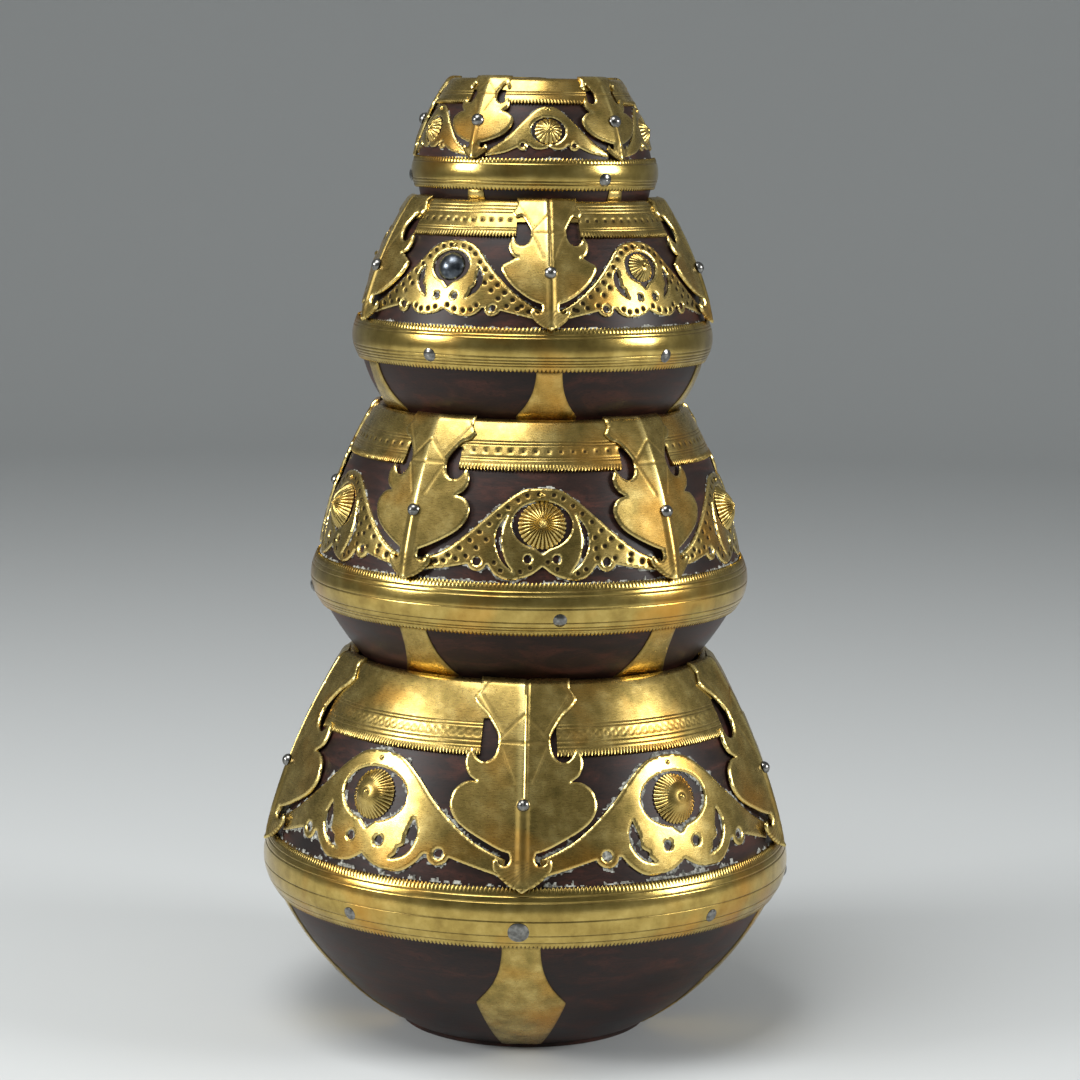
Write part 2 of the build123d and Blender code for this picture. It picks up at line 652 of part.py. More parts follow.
for wall in stacked():
    name = wall.tier.name
    leaves, arches = leaf_turns(wall), arch_turns(wall)
    iron = arches[-1:] if wall.tier.iron_boss else []
    fluted = [turn for turn in arches if turn not in iron]
    print(f"{name}: shoulder line at {wall.line:.1f}, rim at {wall.crest:.1f}")
    write(make_bowl(wall), f"{name}_bowl")
    write(make_collar(wall), f"{name}_collar")
    write(make_belt(wall), f"{name}_belt")
    leaf = make_leaf(wall)
    for number, turn in enumerate(leaves, start=1):
        write(spun(leaf, [turn]), f"{name}_leaf_{number}")
    write(spun(make_arch(wall), arches), f"{name}_arches")
    write(at_planes(make_boss(wall), boss_planes(wall, fluted)), f"{name}_bosses")
    if iron:
        write(at_planes(make_iron_boss(wall), boss_planes(wall, iron)), f"{name}_iron_boss")
    write(spun(make_strap(wall), leaves), f"{name}_foot_straps")
    write(spun(at_planes(make_leaf_tack(wall), [leaf_tack_plane(wall)]), leaves), f"{name}_leaf_tacks")
    write(make_belt_tacks(wall), f"{name}_belt_tacks")
    write(make_pins(wall, arches, fluted), f"{name}_arch_pins")
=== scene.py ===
# %% [markdown]
# # A stack of brass-bound betel boxes
# Four turned wooden boxes stand one in the mouth of the other, each the lid of the one below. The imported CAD
# model already holds every piece at its true size and place, so this script loads it first and never moves it.
# The work here is the finish: the thin brass work is made again with its engraving, punching and worn edges.

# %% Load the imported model
import math

import bpy
import numpy as np
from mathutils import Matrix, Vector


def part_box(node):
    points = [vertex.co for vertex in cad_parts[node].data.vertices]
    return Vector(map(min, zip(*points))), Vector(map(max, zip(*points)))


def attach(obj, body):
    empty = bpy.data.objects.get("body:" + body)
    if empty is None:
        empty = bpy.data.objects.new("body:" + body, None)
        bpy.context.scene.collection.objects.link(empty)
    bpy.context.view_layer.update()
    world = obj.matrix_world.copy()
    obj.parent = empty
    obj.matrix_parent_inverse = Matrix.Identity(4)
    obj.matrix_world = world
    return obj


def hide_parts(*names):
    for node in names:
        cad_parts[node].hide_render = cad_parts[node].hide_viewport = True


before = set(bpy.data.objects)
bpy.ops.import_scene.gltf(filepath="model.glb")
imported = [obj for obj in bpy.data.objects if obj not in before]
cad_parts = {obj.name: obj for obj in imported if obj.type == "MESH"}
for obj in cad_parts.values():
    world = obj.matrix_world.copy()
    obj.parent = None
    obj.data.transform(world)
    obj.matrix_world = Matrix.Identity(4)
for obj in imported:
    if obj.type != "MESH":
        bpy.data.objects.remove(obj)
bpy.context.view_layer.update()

MM = 0.001
BAYS = 5
BAY = 360 / BAYS

# %% [markdown]
# ## The line up the wall of a box
# All the brass of a box follows one line: up the lower wall, round the shoulder, up to the rim, over its roll
# and a little way down inside. We could type that line in again, but then the two files could drift apart. The
# wood is already here, so we measure it: each stretch of the line is an arc, and three or more points of an arc
# give its circle exactly. From then on a piece is drawn flat, across (u) and along the line (s), and bent on.

# %% Fit circles to the turned wood
BELT_SHEET, SHEET, LIP_DEPTH = 1.3, 1.0, 6.0
BELT_HIGH, LARGEST_BELT, FOOT_HEIGHT = 7.8, 105.0, 2.2
ROLL_START = math.radians(30)  # where the wall's bend ends and the roll of the rim begins
UNDER, LIFT = 0.03, 0.02  # a sheet's back off the wood, and what lies over another sheet
UNDER_DRAWN = 0.04  # the same under a sheet that is drawn flat and laid on


def corners_of(mesh):
    """The corners of a mesh, one row each, in metres."""
    place = np.empty(len(mesh.vertices) * 3, np.float32)
    mesh.vertices.foreach_get("co", place)
    return place.reshape(-1, 3)


def outer_profile(node):
    """Radius and height, in millimetres, of the corners of a node's faces that look away from the axis."""
    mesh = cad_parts[node].data
    corner = np.empty(len(mesh.loops), np.int32)
    mesh.loops.foreach_get("vertex_index", corner)
    normal = np.empty(len(mesh.polygons) * 3, np.float32)
    mesh.polygons.foreach_get("normal", normal)
    triangles = corners_of(mesh)[corner.reshape(-1, 3)] / MM
    middle = triangles.mean(axis=1)
    facing = (normal.reshape(-1, 3)[:, :2] * middle[:, :2]).sum(axis=1)
    outwards = facing > 0.05 * np.hypot(*middle[:, :2].T)
    kept = triangles[outwards].reshape(-1, 3)
    height, first = np.unique(np.round(kept[:, 2], 2), return_index=True)
    return np.hypot(kept[first, 0], kept[first, 1]), height


def fit_circle(radius, height):
    """Least squares on radius² + height² = 2a·radius + 2b·height + c, which is a circle about (a, b)."""
    system = np.column_stack([2 * radius, 2 * height, np.ones_like(radius)])
    a, b, c = np.linalg.lstsq(system, radius**2 + height**2, rcond=None)[0]
    return a, b, math.sqrt(c + a * a + b * b)


def corner_near(radius, height, guess, reach=4.0):
    """The height near a guess where the bulging profile turns back outwards, which is where two arcs meet."""
    run = np.unwrap(np.arctan2(np.diff(radius), np.diff(height)))
    turn = np.diff(run) * (np.abs(height[1:-1] - guess) < reach)
    return height[1:-1][turn.argmax()]


def arc(circle, start, end, step=0.1):
    """Radius, height and normal angle along a circle between two angles, a tenth of a millimetre apart."""
    angle = np.linspace(start, end, max(int(abs(end - start) * circle[2] / step), 2))
    return circle[0] + circle[2] * np.cos(angle), circle[1] + circle[2] * np.sin(angle), angle


# %% The line itself
class Line:
    """The line of one box. Arrays s, r, z and angle give arc length, radius, height and normal angle."""

    def __init__(self, tier):
        self.tier = tier
        belt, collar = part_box(f"{tier}_belt"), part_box(f"{tier}_collar")
        wood_r, wood_z = outer_profile(f"{tier}_bowl")
        belt_foot = corner_near(wood_r, wood_z, belt[0][2] / MM + 1.0)
        belt_top = corner_near(wood_r, wood_z, belt[1][2] / MM - 0.6)
        self.radius = wood_r.max() + BELT_SHEET
        self.scale = self.radius / LARGEST_BELT
        self.level = belt_top - BELT_HIGH * self.scale
        self.under, self.crest = wood_z.min(), collar[1][2] / MM
        foot_top = self.under + FOOT_HEIGHT * self.scale

        def fitted(low, high):
            picked = (wood_z > low) & (wood_z < high)
            return fit_circle(wood_r[picked], wood_z[picked])

        rim_r, rim_z = outer_profile(f"{tier}_collar")
        top_r = rim_r[rim_z.argmax()]
        picked = (rim_z > self.crest - 1.3) & (rim_r > top_r - 0.02)
        rim = fit_circle(rim_r[picked], rim_z[picked])
        rim = (rim[0], rim[1], rim[2] - SHEET)
        roll_foot = rim[1] + rim[2] * math.sin(ROLL_START)
        stretches = ((foot_top, belt_foot), (belt_foot, belt_top), (belt_top, roll_foot))
        runs = []
        for low, high in stretches:
            circle = fitted(low + 0.05, min(high, roll_foot - 2.0) - 0.05)
            angles = [math.asin((height - circle[1]) / circle[2]) for height in (low, high)]
            runs.append(arc(circle, *angles))
        runs.append(arc(rim, ROLL_START, math.pi, 0.05))
        lip = np.linspace(0, LIP_DEPTH, 40)[1:]
        runs.append((np.full_like(lip, rim[0] - rim[2]), rim[1] - lip, np.full_like(lip, math.pi)))
        self.r, self.z, self.angle = (np.concatenate(part) for part in zip(*runs))
        self.s = np.concatenate([[0], np.cumsum(np.hypot(np.diff(self.r), np.diff(self.z)))])
        self.top = np.argmax(self.z)
        self.s -= np.interp(self.level, self.z[:self.top], self.s[:self.top])
        self.s_crest, self.s_lip = self.s[self.top], self.s[-1]
        self.s_belt_foot, self.s_belt_top = self.along_height(belt_foot), self.along_height(belt_top)
        self.s_collar_foot = self.along_height(collar[0][2] / MM)

    def along_height(self, height):
        """Arc length at a height of the stack."""
        return np.interp(height, self.z[:self.top], self.s[:self.top])

    def along(self, pattern_height):
        """Arc length at a height of the pattern, which is drawn for the largest box from its belt's level."""
        return self.along_height(self.level + self.scale * np.asarray(pattern_height, float))

    def put(self, points):
        """Points of the pattern, as (across, height), in millimetres across and along the wall."""
        points = np.asarray(points, float)
        return np.column_stack([points[:, 0] * self.scale, self.along(points[:, 1])])

    def below(self, pattern_depth):
        """The height of the pattern that lies a depth of the pattern under the crest of the rim."""
        return (self.crest - SHEET - self.level) / self.scale - pattern_depth

    def at(self, s, out=0.0):
        """Radius, height and normal angle at an arc length, a distance out from the wood."""
        angle = np.interp(s, self.s, self.angle)
        radius = np.interp(s, self.s, self.r) + out * np.cos(angle)
        return radius, np.interp(s, self.s, self.z) + out * np.sin(angle), angle


TIERS = ("large", "medium", "small", "top")
lines = {tier: Line(tier) for tier in TIERS}
for line in lines.values():
    print(f"{line.tier}: belt {line.radius:.2f} mm at {line.level:.2f}, rim at {line.crest:.2f},",
          f"scale {line.scale:.4f}")

# %% [markdown]
# ## Where the leaves and arches stand
# Each box has five bays. A leaf strap marks each corner of the five, and an arch fills the bay between two
# leaves. The boxes are turned against each other as they happened to be put down, so each one has its own turn,
# read from the middle of its first leaf.

# %% Turns of the bays
def tip_turn(node):
    """Degrees from the front (-Y) round to the lowest point of a node, seen from above."""
    place = corners_of(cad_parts[node].data)
    tip = place[place[:, 2].argmin()]
    return math.degrees(math.atan2(tip[0], -tip[1]))


def opened(tier, even_turns):
    """Even turns from the first leaf, moved apart by a sine as far as the second leaf shows."""
    first, second = tip_turn(f"{tier}_leaf_1"), tip_turn(f"{tier}_leaf_2")
    opening = ((second - first) % 360 - BAY) / math.sin(math.radians(BAY))
    return [first + turn + opening * math.sin(math.radians(turn)) for turn in even_turns]


leaf_turns = {tier: opened(tier, [BAY * k for k in range(BAYS)]) for tier in TIERS}
arch_turns = {tier: opened(tier, [BAY * k + BAY / 2 for k in range(BAYS)]) for tier in TIERS}
print("first leaves at", {tier: round(turns[0], 1) for tier, turns in leaf_turns.items()})

# %% [markdown]
# ## Meshes from whole grids
# A sheet of brass is two grids of points, its face and its back, with a wall wherever the sheet ends. Numpy
# works both grids out at once. Cells outside the outline are left away, and the points along the cut are moved
# onto it, so a coarse grid still gives a clean edge. Every point also carries two values for the finish: how
# far along the wall it lies, and how much dirt has settled there. On the leaves that value also holds painted
# shade in the crease and a painted highlight beside it.

# %% A closed sheet between two grids
def solid(face, back, dirt, s, keep=None, wrap=False, crust=0.0):
    """Points, quads and finish values of a closed sheet.

    Cell (i, j) joins the points (i, j), (i+1, j), (i+1, j+1) and (i, j+1). An edge that one kept cell alone
    uses gets a wall from the face grid to the back grid. With wrap, the first index closes on itself.
    Dirt below zero stands for metal that hands have polished, and on the leaves also for a painted highlight.
    Dirt above zero darkens, and in the crease of a leaf it is painted shade. Crust is one for dried polish.
    """
    rows, columns = face.shape[:2]
    total = rows * columns
    index = np.arange(total).reshape(rows, columns)
    if wrap:
        index = np.concatenate([index, index[:1]])
    cells = np.stack([index[:-1, :-1], index[1:, :-1], index[1:, 1:], index[:-1, 1:]], axis=-1)
    quads = cells.reshape(-1, 4) if keep is None else cells[keep]
    edges = quads[:, [0, 1, 1, 2, 2, 3, 3, 0]].reshape(-1, 2)
    ordered = np.sort(edges, axis=1)
    _, first, count = np.unique(ordered[:, 0] * total + ordered[:, 1], return_index=True, return_counts=True)
    rim = edges[first[count == 1]]
    walls = np.column_stack([rim[:, 1], rim[:, 0], rim[:, 0] + total, rim[:, 1] + total])
    faces = np.concatenate([quads, quads[:, ::-1] + total, walls])
    used, faces = np.unique(faces, return_inverse=True)
    points = np.concatenate([face.reshape(-1, 3), back.reshape(-1, 3)])[used]
    values = [np.tile(s.reshape(-1), 2), np.tile(dirt.reshape(-1), 2), np.full(2 * total, crust)]
    return points, faces.reshape(-1, 4), np.column_stack(values)[used]


def turned(points, degrees):
    """Points turned about the axis of the stack, counter-clockwise from above."""
    c, s = math.cos(math.radians(degrees)), math.sin(math.radians(degrees))
    return points @ np.array([[c, s, 0], [-s, c, 0], [0, 0, 1]])


# %% Put a shell or several into one object
def make_piece(name, shells, tier, material):
    """An object at the origin from shells given in millimetres, smooth except over sharp edges."""
    starts = np.cumsum([0] + [len(points) for points, _, _ in shells[:-1]])
    points = np.concatenate([points for points, _, _ in shells]) * MM
    faces = np.concatenate([faces + start for (_, faces, _), start in zip(shells, starts)])
    mesh = bpy.data.meshes.new(name)
    mesh.from_pydata(points, [], faces)
    lay = mesh.attributes.new("lay", "FLOAT_VECTOR", "POINT")
    lay.data.foreach_set("vector", np.concatenate([values for _, _, values in shells]).ravel())
    mesh.shade_smooth()
    mesh.set_sharp_from_angle(angle=math.radians(38))
    mesh.materials.append(material)
    piece = bpy.data.objects.new(name, mesh)
    bpy.context.scene.collection.objects.link(piece)
    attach(piece, f"{tier}_box")
    return piece


# %% [markdown]
# ## Outlines and distances
# An outline is a few points with smooth stretches between sharp corners. A Catmull-Rom curve passes through its
# points, which suits shapes that were read off a cut sheet. The distance from each grid point to the outline
# then does most of the work: it says what is inside, rounds the edge, and tells where dirt gathers.

# %% Smooth stretches and mirrored outlines
def smooth(points, per_span=10):
    """A Catmull-Rom curve through the points: a span's end slopes are half the gap between the neighbours."""
    p = np.asarray(points, float)
    p = np.concatenate([[2 * p[0] - p[1]], p, [2 * p[-1] - p[-2]]])
    t = np.linspace(0, 1, per_span, endpoint=False)[:, None]
    spans = [
        0.5 * (2 * b + (c - a) * t + (2 * a - 5 * b + 4 * c - d) * t**2 + (3 * b - a - 3 * c + d) * t**3)
        for a, b, c, d in zip(p, p[1:], p[2:], p[3:])
    ]
    return np.concatenate(spans + [p[-2:-1]])


def mirrored(half):
    """A closed outline from its right half, which runs from the top middle down to the bottom middle."""
    return np.concatenate([half, half[::-1] * [-1, 1]])


def ring(u, w, radius, count=40):
    """A circle as a closed outline."""
    t = np.linspace(0, 2 * math.pi, count + 1)
    return np.column_stack([u + radius * np.cos(t), w + radius * np.sin(t)])


# %% Distance from every point to an outline
def nearest(points, outlines):
    """Distance from each point to the nearest outline and the spot on it, segment by segment."""
    start = np.concatenate([line[:-1] for line in outlines])
    along = np.concatenate([np.diff(line, axis=0) for line in outlines])
    square = np.maximum((along**2).sum(axis=1), 1e-12)
    distance, spot = np.empty(len(points)), np.empty((len(points), 2))
    blocks = max(1, len(points) * len(start) // 3_000_000)
    for block in np.array_split(np.arange(len(points)), blocks):
        gap = points[block, None] - start
        share = np.clip((gap * along).sum(axis=-1) / square, 0, 1)
        foot = start + share[..., None] * along
        far = ((points[block, None] - foot) ** 2).sum(axis=-1)
        best = far.argmin(axis=1)
        distance[block] = np.sqrt(far[np.arange(len(block)), best])
        spot[block] = foot[np.arange(len(block)), best]
    return distance, spot


def inside(points, outlines):
    """True where a level ray from the point crosses the outlines an odd number of times."""
    crossings = np.zeros(len(points), int)
    for line in outlines:
        (x0, y0), (x1, y1) = line[:-1].T, line[1:].T
        x, y = points[:, :1], points[:, 1:]
        straddles = (y0 > y) != (y1 > y)
        meets = (x1 - x0) * (y - y0) / np.where(y1 == y0, 1, y1 - y0) + x0
        crossings += (straddles & (x < meets)).sum(axis=1)
    return crossings % 2 == 1


# %% A cut sheet on a grid
LEAF_PITCH, STRAP_PITCH = 0.54, 1.1
ARCH_PITCH = {"large": 0.58, "medium": 0.5, "small": 0.46, "top": 0.5}


def cut_sheet(outlines, pitch):
    """Grid of (u, s), kept cells, and signed distance to the cut for an outline with its holes.

    A cell is kept if its middle is inside. The points on the rim of the kept cells move to the nearest spot
    on the cut, which makes the edge exact.
    """
    low = np.min([line.min(axis=0) for line in outlines], axis=0) - pitch
    high = np.max([line.max(axis=0) for line in outlines], axis=0) + pitch
    u, s = [np.arange(a, b + pitch, pitch) for a, b in zip(low, high)]
    grid = np.stack(np.meshgrid(u, s, indexing="ij"), axis=-1)
    shape = grid.shape[:2]
    flat = grid.reshape(-1, 2)
    distance, spot = nearest(flat, outlines)
    middles = (grid[:-1, :-1] + pitch / 2).reshape(-1, 2)
    keep = inside(middles, outlines).reshape(shape[0] - 1, shape[1] - 1)
    touched = np.zeros(shape, int)
    for i, j in ((0, 0), (1, 0), (1, 1), (0, 1)):
        touched[i:shape[0] - 1 + i, j:shape[1] - 1 + j] += keep
    rim = ((touched > 0) & (touched < 4)).reshape(-1)
    flat[rim] = spot[rim]
    distance[rim] = 0
    return grid[..., 0], grid[..., 1], keep, distance.reshape(shape)


def rounded(distance, thickness, radius=0.45):
    """Height of a sheet with a rounded upper edge: full inside, and down a quarter circle at the cut."""
    near = np.clip(1 - distance / radius, 0, 1)
    return thickness - radius * (1 - np.sqrt(1 - near**2))


def groove(u, s, cuts, half_width, depth):
    """Depth of V-shaped engraved lines: full on the line, none half a width away."""
    points = np.column_stack([u.ravel(), s.ravel()])
    return depth * np.clip(1 - nearest(points, cuts)[0] / half_width, 0, 1).reshape(u.shape)


def wavy(u, s, size, seed):
    """Gentle unevenness of hand-worked sheet, between -1 and 1: three crossed sine waves of chosen phase."""
    phase = np.random.default_rng(seed).uniform(0, 2 * math.pi, 3)
    crossed = np.sin(u / size + phase[0]) * np.cos(s / size * 1.3 + phase[1])
    return (crossed + np.sin((u + s) / size * 0.7 + phase[2])) / 2


def patchy(u, s, size, seed):
    """Irregular field from 0 to 1: random values on a square lattice blended by smooth steps, in two sizes."""
    lattice = np.random.default_rng(seed).random((64, 64))
    total = 0.0
    for part, share in ((1.0, 0.6), (0.37, 0.4)):
        x, y = u / (size * part) % 64, s / (size * part) % 64
        i, j = x.astype(int) % 64, y.astype(int) % 64
        a, b = [f * f * (3 - 2 * f) for f in (x - np.floor(x), y - np.floor(y))]
        low = lattice[i, j] * (1 - a) + lattice[(i + 1) % 64, j] * a
        high = lattice[i, (j + 1) % 64] * (1 - a) + lattice[(i + 1) % 64, (j + 1) % 64] * a
        total = total + share * (low * (1 - b) + high * b)
    return total


# %% [markdown]
# ## Brass
# The mounts are thin sheet brass, hammered to shape, cut with chisels, engraved and then polished for years.
# That gives a warm yellow metal with a soft, slightly uneven gloss, brown where dirt sits in the cuts, and fine
# scratches from cleaning. A metal's colour is all in its reflection, so the base colour and the roughness carry
# the look, and a low bump makes the reflections wander as they do on worked sheet.

# %% Colours and the node helper
def linear(code):
    """An sRGB hex value as linear red, green, blue and alpha."""
    channels = [int(code[i:i + 2], 16) / 255 for i in (1, 3, 5)]
    return [c / 12.92 if c <= 0.04045 else ((c + 0.055) / 1.055) ** 2.4 for c in channels] + [1.0]


def new_material(name):
    """An empty node material and its Principled shader, already linked to the output."""
    material = bpy.data.materials.new(name)
    material.use_nodes = True
    return material, material.node_tree, material.node_tree.nodes["Principled BSDF"]


def node(tree, kind, settings=None, **links):
    """Adds a node, sets its properties and sockets, and links named inputs (in_0 is the first input)."""
    made = tree.nodes.new(kind)
    for key, value in (settings or {}).items():
        if isinstance(key, str) and hasattr(made, key):
            setattr(made, key, value)
        else:
            made.inputs[key].default_value = value
    for key, source in links.items():
        socket = made.inputs[int(key[3:])] if key.startswith("in_") else made.inputs[key.replace("_", " ")]
        tree.links.new(source, socket)
    return made


def ramp(tree, source, stops):
    """A colour ramp over a value; stops are (position, hex) pairs."""
    made = node(tree, "ShaderNodeValToRGB", in_0=source)
    elements = made.color_ramp.elements
    while len(elements) < len(stops):
        elements.new(0.5)
    for element, (position, code) in zip(elements, stops):
        element.position, element.color = position, linear(code)
    return made.outputs["Color"]


# %% Aged sheet brass
PAINTED_REFLECTION_MM, MOTTLE_MM, SCRATCH_MM, DENT_MM = 26.0, 7.0, 0.35, 16.0


def make_brass(name, dark, mid, light, roughness):
    """Polished sheet brass: mottle, orange patches of painted reflection, fine brushing, dirt in the cuts, worn
    bright edges.
    """
    material, tree, shader = new_material(name)
    where = node(tree, "ShaderNodeTexCoord").outputs["Object"]
    lay = node(tree, "ShaderNodeSeparateXYZ", in_0=node(tree, "ShaderNodeAttribute",
               {"attribute_name": "lay"}).outputs["Vector"])
    mottle = node(tree, "ShaderNodeTexNoise", {"Scale": 1 / (MOTTLE_MM * MM), "Detail": 5.0, "Roughness": 0.6},
                  Vector=where).outputs["Fac"]
    tone = ramp(tree, mottle, [(0.3, dark), (0.5, mid), (0.72, light)])
    # Orange patches mixed into the colour are painted reflection: they stand in for warm light thrown back by
    # nearby brass.
    patch = node(tree, "ShaderNodeTexNoise", {"Scale": 1 / (PAINTED_REFLECTION_MM * MM), "Detail": 2.0}, Vector=where)
    painted_reflection_mask = node(tree, "ShaderNodeMapRange", {1: 0.52, 2: 0.74, 3: 0.0, 4: 0.7}, in_0=patch.outputs["Fac"])
    warm = node(tree, "ShaderNodeMix", {"data_type": "RGBA", 7: linear("#d8983a")}, in_0=painted_reflection_mask.outputs[0],
                in_6=tone)
    # Dirt below zero brightens the metal: polished wear, and on the leaves also a painted highlight.
    shine = node(tree, "ShaderNodeMath", {"operation": "MULTIPLY", "use_clamp": True, 1: -0.8},
                 in_0=lay.outputs[1])
    bright = node(tree, "ShaderNodeMix", {"data_type": "RGBA", 7: linear("#f4dc8e")}, in_0=shine.outputs[0],
                  in_6=warm.outputs[2])
    fine = node(tree, "ShaderNodeTexNoise", {"Scale": 1 / (1.4 * MM), "Detail": 3.0},
                Vector=where).outputs["Fac"]
    speckle = node(tree, "ShaderNodeMath", {"operation": "MULTIPLY_ADD", 1: 0.9, 2: -0.4}, in_0=fine)
    # Dirt above zero darkens the metal: dirt, and in the crease of each leaf painted shade.
    settled = node(tree, "ShaderNodeMath", {"operation": "ADD", "use_clamp": True}, in_0=lay.outputs[1],
                   in_1=speckle.outputs[0])
    dirt = node(tree, "ShaderNodeMath", {"operation": "MULTIPLY", "use_clamp": True}, in_0=settled.outputs[0],
                in_1=lay.outputs[1])
    grime_and_painted_shade = node(tree, "ShaderNodeMix", {"data_type": "RGBA", 7: linear("#2a2317")}, in_0=dirt.outputs[0],
                 in_6=bright.outputs[2])
    chalk = ramp(tree, fine, [(0.36, "#4c4b45"), (0.5, "#85857c"), (0.66, "#b9bab2")])
    coated = node(tree, "ShaderNodeMix", {"data_type": "RGBA"}, in_0=lay.outputs[2], in_6=grime_and_painted_shade.outputs[2],
                  in_7=chalk)
    tree.links.new(coated.outputs[2], shader.inputs["Base Color"])
    bare = node(tree, "ShaderNodeMath", {"operation": "SUBTRACT", 0: 1.0}, in_1=lay.outputs[2])
    tree.links.new(bare.outputs[0], shader.inputs["Metallic"])
    stretched = node(tree, "ShaderNodeMapping", {"Scale": (1.0, 1.0, 6.0)}, Vector=where)
    scratch = node(tree, "ShaderNodeTexNoise", {"Scale": 1 / (SCRATCH_MM * 6 * MM), "Detail": 4.0,
                   "Roughness": 0.7}, Vector=stretched.outputs[0]).outputs["Fac"]
    gloss = node(tree, "ShaderNodeMapRange", {3: roughness - 0.05, 4: roughness + 0.11}, in_0=scratch)
    worn = node(tree, "ShaderNodeMath", {"operation": "MULTIPLY_ADD", 1: 0.35}, in_0=dirt.outputs[0],
                in_2=gloss.outputs[0])
    dull = node(tree, "ShaderNodeMath", {"operation": "MULTIPLY_ADD", "use_clamp": True, 1: 0.55},
                in_0=lay.outputs[2], in_2=worn.outputs[0])
    tree.links.new(dull.outputs[0], shader.inputs["Roughness"])
    dents = node(tree, "ShaderNodeTexNoise", {"Scale": 1 / (DENT_MM * MM), "Detail": 1.0},
                 Vector=where).outputs["Fac"]
    low = node(tree, "ShaderNodeBump", {"Strength": 0.3, "Distance": 0.8 * MM}, Height=dents)
    high = node(tree, "ShaderNodeBump", {"Strength": 0.16, "Distance": 0.08 * MM}, Height=scratch,
                Normal=low.outputs[0])
    tree.links.new(high.outputs[0], shader.inputs["Normal"])
    return material


sheet_brass = make_brass("hammered sheet brass", "#938046", "#b59b58", "#d8bf76", 0.25)
belt_brass = make_brass("polished rolled brass", "#a58b4b", "#bda35a", "#d6bb6e", 0.17)

# %% [markdown]
# ## Turned wood and iron
# The boxes are a dense dark hardwood, turned on a lathe, waxed and handled until they are almost black with red
# showing where the light falls. The tacks are small forged iron heads, grey with a soft shine, and the one
# iron dome is darker and smoother.

# %% Waxed dark hardwood
GRAIN_MM, PORE_MM = 5.0, 0.5


def make_wood():
    """Dark turned rosewood: long streaks round the box, fine pores, and turning lines in the wax."""
    material, tree, shader = new_material("waxed dark rosewood")
    where = node(tree, "ShaderNodeTexCoord").outputs["Object"]
    long = node(tree, "ShaderNodeMapping", {"Scale": (1.0, 0.35, 3.2), "Rotation": (0.12, 0.2, 0.4)},
                Vector=where)
    grain = node(tree, "ShaderNodeTexNoise", {"Scale": 1 / (GRAIN_MM * 4 * MM), "Detail": 8.0,
                 "Roughness": 0.66, "Distortion": 0.6}, Vector=long.outputs[0]).outputs["Fac"]
    tone = ramp(tree, grain, [(0.3, "#140d0b"), (0.5, "#27150f"), (0.68, "#45241a")])
    pores = node(tree, "ShaderNodeTexNoise", {"Scale": 1 / (PORE_MM * 3 * MM), "Detail": 2.0},
                 Vector=long.outputs[0]).outputs["Fac"]
    dark = node(tree, "ShaderNodeMapRange", {1: 0.56, 2: 0.68, 3: 0.0, 4: 0.6}, in_0=pores)
    body = node(tree, "ShaderNodeMix", {"data_type": "RGBA", 7: linear("#0c0909")}, in_0=dark.outputs[0],
                in_6=tone)
    tree.links.new(body.outputs[2], shader.inputs["Base Color"])
    gloss = node(tree, "ShaderNodeMapRange", {3: 0.34, 4: 0.56}, in_0=grain)
    tree.links.new(gloss.outputs[0], shader.inputs["Roughness"])
    shader.inputs["Specular IOR Level"].default_value = 0.3  # the wax is thin and dulled
    turning = node(tree, "ShaderNodeMapping", {"Scale": (0.02, 0.02, 1.0)}, Vector=where)
    rings = node(tree, "ShaderNodeTexNoise", {"Scale": 1 / (0.8 * MM), "Detail": 3.0},
                 Vector=turning.outputs[0]).outputs["Fac"]
    lathe = node(tree, "ShaderNodeBump", {"Strength": 0.25, "Distance": 0.12 * MM}, Height=rings)
    pitted = node(tree, "ShaderNodeBump", {"Strength": 0.3, "Distance": 0.1 * MM}, Height=pores,
                  Normal=lathe.outputs[0])
    tree.links.new(pitted.outputs[0], shader.inputs["Normal"])
    return material


def make_iron(name, dark, mid, light, roughness):
    """Forged iron, worn smooth: a grey metal with a slightly uneven skin."""
    material, tree, shader = new_material(name)
    where = node(tree, "ShaderNodeTexCoord").outputs["Object"]
    skin = node(tree, "ShaderNodeTexNoise", {"Scale": 1 / (1.6 * MM), "Detail": 4.0},
                Vector=where).outputs["Fac"]
    tree.links.new(ramp(tree, skin, [(0.3, dark), (0.52, mid), (0.74, light)]), shader.inputs["Base Color"])
    shader.inputs["Metallic"].default_value = 1.0
    shader.inputs["Roughness"].default_value = roughness
    bump = node(tree, "ShaderNodeBump", {"Strength": 0.25, "Distance": 0.1 * MM}, Height=skin)
    tree.links.new(bump.outputs[0], shader.inputs["Normal"])
    return material


rosewood = make_wood()
nail_iron = make_iron("hand-forged nail iron", "#5e5d5a", "#84837f", "#a3a19c", 0.26)
dome_iron = make_iron("smooth raised iron", "#3c4147", "#565c63", "#747a80", 0.3)
FINISHES = {"bowl": rosewood, "tacks": nail_iron, "iron_boss": dome_iron}
for name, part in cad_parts.items():
    finish = next((made for ending, made in FINISHES.items() if name.endswith(ending)), sheet_brass)
    part.data.materials.clear()
    part.data.materials.append(finish)

# %% [markdown]
# ## Belts
# The belt is a strip of brass rolled to a half round over the shoulder. Fine lines are turned in it along both
# edges, and the edges themselves are filed into teeth, long ones above and short ones below. The body of the
# belt is one grid round the box with close rows only at the lines. The teeth need far more points round the box
# than the body does, so they are two narrow strips of their own in the same mesh.

# %% Lathe-turned strips
def around(count):
    """Evenly spaced turns round the box, in radians."""
    return np.linspace(0, 2 * math.pi, count, endpoint=False)


